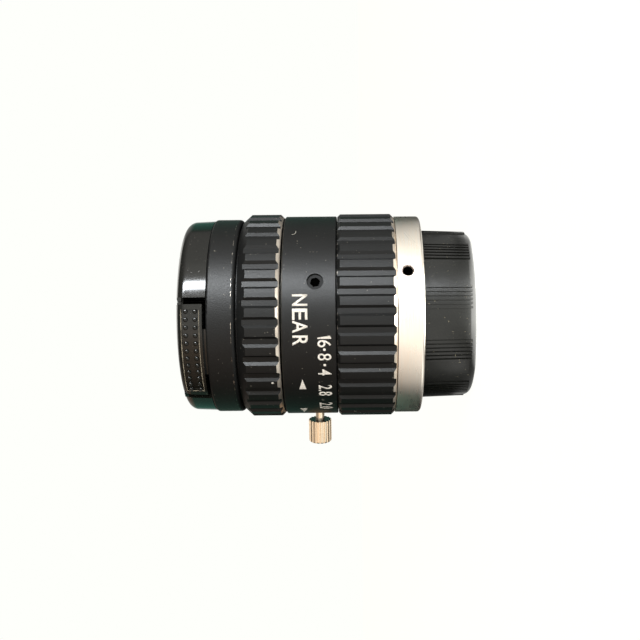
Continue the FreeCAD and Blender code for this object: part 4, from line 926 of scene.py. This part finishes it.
class LENS_OT_stage(LensOperator, bpy.types.Operator):
    """Floor, world, soft boxes and the camera"""
    bl_idname = "lens.stage"
    bl_label = "Studio"

    def execute(self, context):
        scene = context.scene
        scene.view_settings.view_transform = "Standard"
        self.make_world(scene)
        self.make_floor()
        middle = (CAD_LOW.z + CAD_HIGH.z) / 2
        soft = self.soft_box("soft_box", middle + 120 * MM, ROOM_AXIS, 0.50, (0.36, 0.40), 7.0, "#fffaf2")
        soft.visible_glossy = False
        strip = self.soft_box("strip_box", middle + 45 * MM, STRIP_AXIS, 0.40, (0.5, 0.074), 58.0, "#f6fbff")
        strip.visible_diffuse = False
        self.make_camera(scene)
        return {"FINISHED"}

    def make_world(self, scene):
        """White behind the object, and a soft room in its reflections that darkens to the sides."""
        world = bpy.data.worlds.new("studio_room")
        scene.world = world
        world.use_nodes = True
        tree = world.node_tree
        tree.nodes.clear()
        path = add_node(tree, "ShaderNodeLightPath")
        seen = add_node(tree, MATH, (path.outputs["Is Glossy Ray"], path.outputs["Is Transmission Ray"]),
                        operation="MAXIMUM")
        direction = add_node(tree, "ShaderNodeTexCoord").outputs["Generated"]
        across, back, up = add_node(tree, SPLIT, (direction,)).outputs
        facing = add_node(tree, VECTOR, (direction, ROOM_AXIS), operation="DOT_PRODUCT").outputs["Value"]
        lobe = add_node(tree, VECTOR, (direction, LOBE_AXIS), operation="DOT_PRODUCT").outputs["Value"]

        # The room is light in front, dark at the sides, and dim behind the lens. Its numbers are
        # fitted to what the lens mirrors in the photograph
        wall = add_node(tree, RANGE, (lobe, -0.5, 0.7, 0.03, 1.4))
        panel = add_node(tree, RANGE, (lobe, 0.66, 0.74, 0.0, 0.3))
        room = add_node(tree, MATH, (wall, panel), operation="ADD")
        ahead = add_node(tree, RANGE, (facing, -0.44, -0.36))
        room = add_node(tree, MATH, (room, ahead), operation="MULTIPLY")
        behind = add_node(tree, RANGE, (facing, -0.45, -0.37, 0.55, 0.0))
        room = add_node(tree, MATH, (room, behind), operation="MAXIMUM")
        for dimmer in (add_node(tree, RANGE, (seen, 0.0, 1.0, 0.15, 1.0)),
                       add_node(tree, RANGE, (up, 0.25, 0.7, 1.0, 0.45))):
            room = add_node(tree, MATH, (room, dimmer), operation="MULTIPLY")

        # Two bright patches behind the lens, low and high, for the rims of its ends to mirror
        low = add_node(tree, RANGE, (up, -0.6, -0.4, 7.0, 0.0))
        high = add_node(tree, RANGE, (up, 0.4, 0.6, 0.0, 2.5))
        window = add_node(tree, MATH, (low, high), operation="ADD")
        for limit in (add_node(tree, RANGE, (back, 0.3, 0.55)),
                      between(tree, across, -0.14, 0.4, 0.1), seen):
            window = add_node(tree, MATH, (window, limit), operation="MULTIPLY")

        # White for the camera, and straight behind the lens for its gloss and glass
        backdrop = add_node(tree, RANGE, (back, 0.88, 0.98))
        backdrop = add_node(tree, MATH, (backdrop, seen), operation="MULTIPLY")
        white = add_node(tree, MATH, (backdrop, path.outputs["Is Camera Ray"]), operation="MAXIMUM")
        strength = add_node(tree, MATH, (room, white), operation="MAXIMUM")
        strength = add_node(tree, MATH, (window, strength), operation="MAXIMUM")

        # Warm from -X, which is below in the photograph, neutral in front, and sea green in a
        # level band behind, which tints the edges of the black parts
        warm = add_node(tree, RANGE, (across, -0.7, -0.1))
        colour = add_node(tree, MIX, {0: warm, 6: rgba("#f7d6bc"), 7: rgba("#fffdf6")}, data_type="RGBA")
        tilted = add_node(tree, MATH, (up,), operation="ABSOLUTE")
        tilted = add_node(tree, RANGE, (tilted, 0.18, 0.38))
        plain = add_node(tree, MATH, (ahead, tilted), operation="MAXIMUM")
        colour = add_node(tree, MIX, {
            0: plain, 6: rgba("#6fb5a0"), 7: colour.outputs[2]}, data_type="RGBA")
        colour = add_node(tree, MIX, {
            0: white, 6: colour.outputs[2], 7: rgba("#fefffb")}, data_type="RGBA")
        tint = add_node(tree, "ShaderNodeBackground", {"Color": colour.outputs[2], "Strength": strength})
        add_node(tree, "ShaderNodeOutputWorld", {"Surface": tint})

    def make_floor(self):
        """A wide pale sheet that the lens stands on."""
        shape = bmesh.new()
        bmesh.ops.create_grid(shape, x_segments=1, y_segments=1, size=1.5)
        mesh = bpy.data.meshes.new("floor")
        shape.to_mesh(mesh)
        shape.free()
        floor = bpy.data.objects.new("floor", mesh)
        floor.location = (0, 0, CAD_LOW.z)
        bpy.context.scene.collection.objects.link(floor)
        mesh.materials.append(self.pale_paper())

    def pale_paper(self):
        """Pale matte paper: near white to the camera. For gloss it has bright and dark patches, placed
        so that the rear cap and the flange mirror what they do in the photograph."""
        material, tree = new_material("pale_paper")
        path = add_node(tree, "ShaderNodeLightPath")
        place = add_node(tree, "ShaderNodeTexCoord").outputs["Object"]
        across, back = add_node(tree, SPLIT, (place,)).outputs[:2]

        # Patches beneath the lens
        under = add_node(tree, MATH, (between(tree, across, -5 * MM, 8 * MM, 4 * MM),
                                      between(tree, back, -18 * MM, -3 * MM, 3 * MM)), operation="MULTIPLY")
        right = add_node(tree, MATH, (between(tree, across, -7 * MM, 20 * MM, 4 * MM), 1.1),
                         operation="MULTIPLY")
        left = add_node(tree, MATH, (between(tree, across, -24 * MM, 0, 4 * MM), 0.45), operation="MULTIPLY")
        near = add_node(tree, MATH, (right, left), operation="MAXIMUM")
        under = add_node(tree, MATH, (under, 10.0), operation="MULTIPLY")
        near = add_node(tree, MATH, (near, under), operation="ADD")
        near = add_node(tree, MATH, (near, 0.12), operation="MAXIMUM")

        # Further out it follows the room, with one bright strip beside the lens
        bearing = add_node(tree, VECTOR, (place,), operation="NORMALIZE")
        lobe = add_node(tree, VECTOR, (bearing, LOBE_AXIS), operation="DOT_PRODUCT").outputs["Value"]
        reach = add_node(tree, VECTOR, (place,), operation="LENGTH").outputs["Value"]
        far = add_node(tree, RANGE, (lobe, -0.5, 0.7, 0.03, 1.2))
        away = add_node(tree, RANGE, (reach, 26 * MM, 34 * MM))
        patch = add_node(tree, MIX, {0: away, 2: near, 3: far})
        beside = add_node(tree, MATH, (between(tree, across, -40 * MM, -15 * MM, 4 * MM),
                                       between(tree, back, -120 * MM, -10 * MM, 4 * MM)),
                          operation="MULTIPLY")
        beside = add_node(tree, MATH, (beside, 1.5), operation="MULTIPLY")
        patch = add_node(tree, MATH, (patch, beside), operation="MAXIMUM")

        # Gloss sees the patches alone, the camera mostly a plain glow, and other light the paper
        glossy = path.outputs["Is Glossy Ray"]
        mirrored = add_node(tree, MATH, (patch, glossy), operation="MULTIPLY")
        plain = add_node(tree, RANGE, (glossy, 0.0, 1.0, 1.17, 0.0))
        strength = add_node(tree, MATH, (mirrored, plain), operation="ADD")
        glow = add_node(tree, "ShaderNodeEmission", {"Color": rgba("#fffffa"), "Strength": strength})
        paper = add_node(tree, "ShaderNodeBsdfDiffuse", {"Color": rgba("#f4f4f0")})
        share = glossy
        for ray, amount in (("Is Transmission Ray", 0.3), ("Is Camera Ray", 0.85)):
            part = add_node(tree, MATH, (path.outputs[ray], amount), operation="MULTIPLY")
            share = add_node(tree, MATH, (share, part), operation="MAXIMUM")
        return finished(material, add_node(tree, "ShaderNodeMixShader", (share, paper, glow)))

    def soft_box(self, name, height, direction, distance, size, radiance, colour):
        """An area light that looks at the lens axis: its first side runs along that axis."""
        light = bpy.data.lights.new(name, "AREA")
        light.shape = "RECTANGLE"
        light.size, light.size_y = size
        light.energy = radiance * math.pi * size[0] * size[1]
        light.color = linear(colour)
        holder = bpy.data.objects.new(name, light)
        away = Vector(direction).normalized()
        along = Vector((0, 0, 1))
        turn = Matrix((along, away.cross(along), away)).transposed().to_4x4()
        holder.matrix_world = Matrix.Translation(Vector((0, 0, height)) + away * distance) @ turn
        bpy.context.scene.collection.objects.link(holder)
        return holder

    def make_camera(self, scene):
        """The photograph's camera: level with the lens and rolled so that its front points left."""
        data = bpy.data.cameras.new("camera")
        data.sensor_width = 36.0
        data.lens = 53.27
        data.shift_x, data.shift_y = (pixels / IMAGE_SIDE for pixels in CAMERA_SHIFT)
        data.clip_start = 0.01
        data.clip_end = 10.0
        camera = bpy.data.objects.new("camera", data)
        level = Matrix((Vector((0, 0, -1)), Vector((1, 0, 0)), Vector((0, -1, 0)))).transposed().to_4x4()
        roll = Matrix.Rotation(math.radians(CAMERA_ROLL), 4, "Z")
        camera.matrix_world = Matrix.Translation((0, -CAMERA_DISTANCE, CAMERA_HEIGHT)) @ level @ roll
        scene.collection.objects.link(camera)
        scene.camera = camera


class LENS_PT_panel(bpy.types.Panel):
    """Lists the steps that dress the lens"""
    bl_idname = "LENS_PT_panel"
    bl_label = "Machine vision lens"
    bl_space_type = "VIEW_3D"
    bl_region_type = "UI"
    bl_category = "Lens"

    def draw(self, context):
        settings = context.scene.lens_settings
        for name in LensSettings.__annotations__:
            self.layout.prop(settings, name)
        for step in STEPS:
            self.layout.operator(step.bl_idname)


STEPS = (LENS_OT_stage, LENS_OT_barrel, LENS_OT_mount, LENS_OT_screws, LENS_OT_optics, LENS_OT_caps,
         LENS_OT_marks)
CLASSES = (LensSettings, *STEPS, LENS_PT_panel)


def register():
    """Makes the settings, the steps and the panel known to Blender."""
    for item in CLASSES:
        bpy.utils.register_class(item)
    bpy.types.Scene.lens_settings = bpy.props.PointerProperty(type=LensSettings)


def unregister():
    """Takes them out again."""
    del bpy.types.Scene.lens_settings
    for item in reversed(CLASSES):
        bpy.utils.unregister_class(item)


def main():
    """Dresses the lens."""
    register()
    for step in STEPS:
        group, action = step.bl_idname.split(".")
        getattr(getattr(bpy.ops, group), action)()


if __name__ == "__main__":
    main()
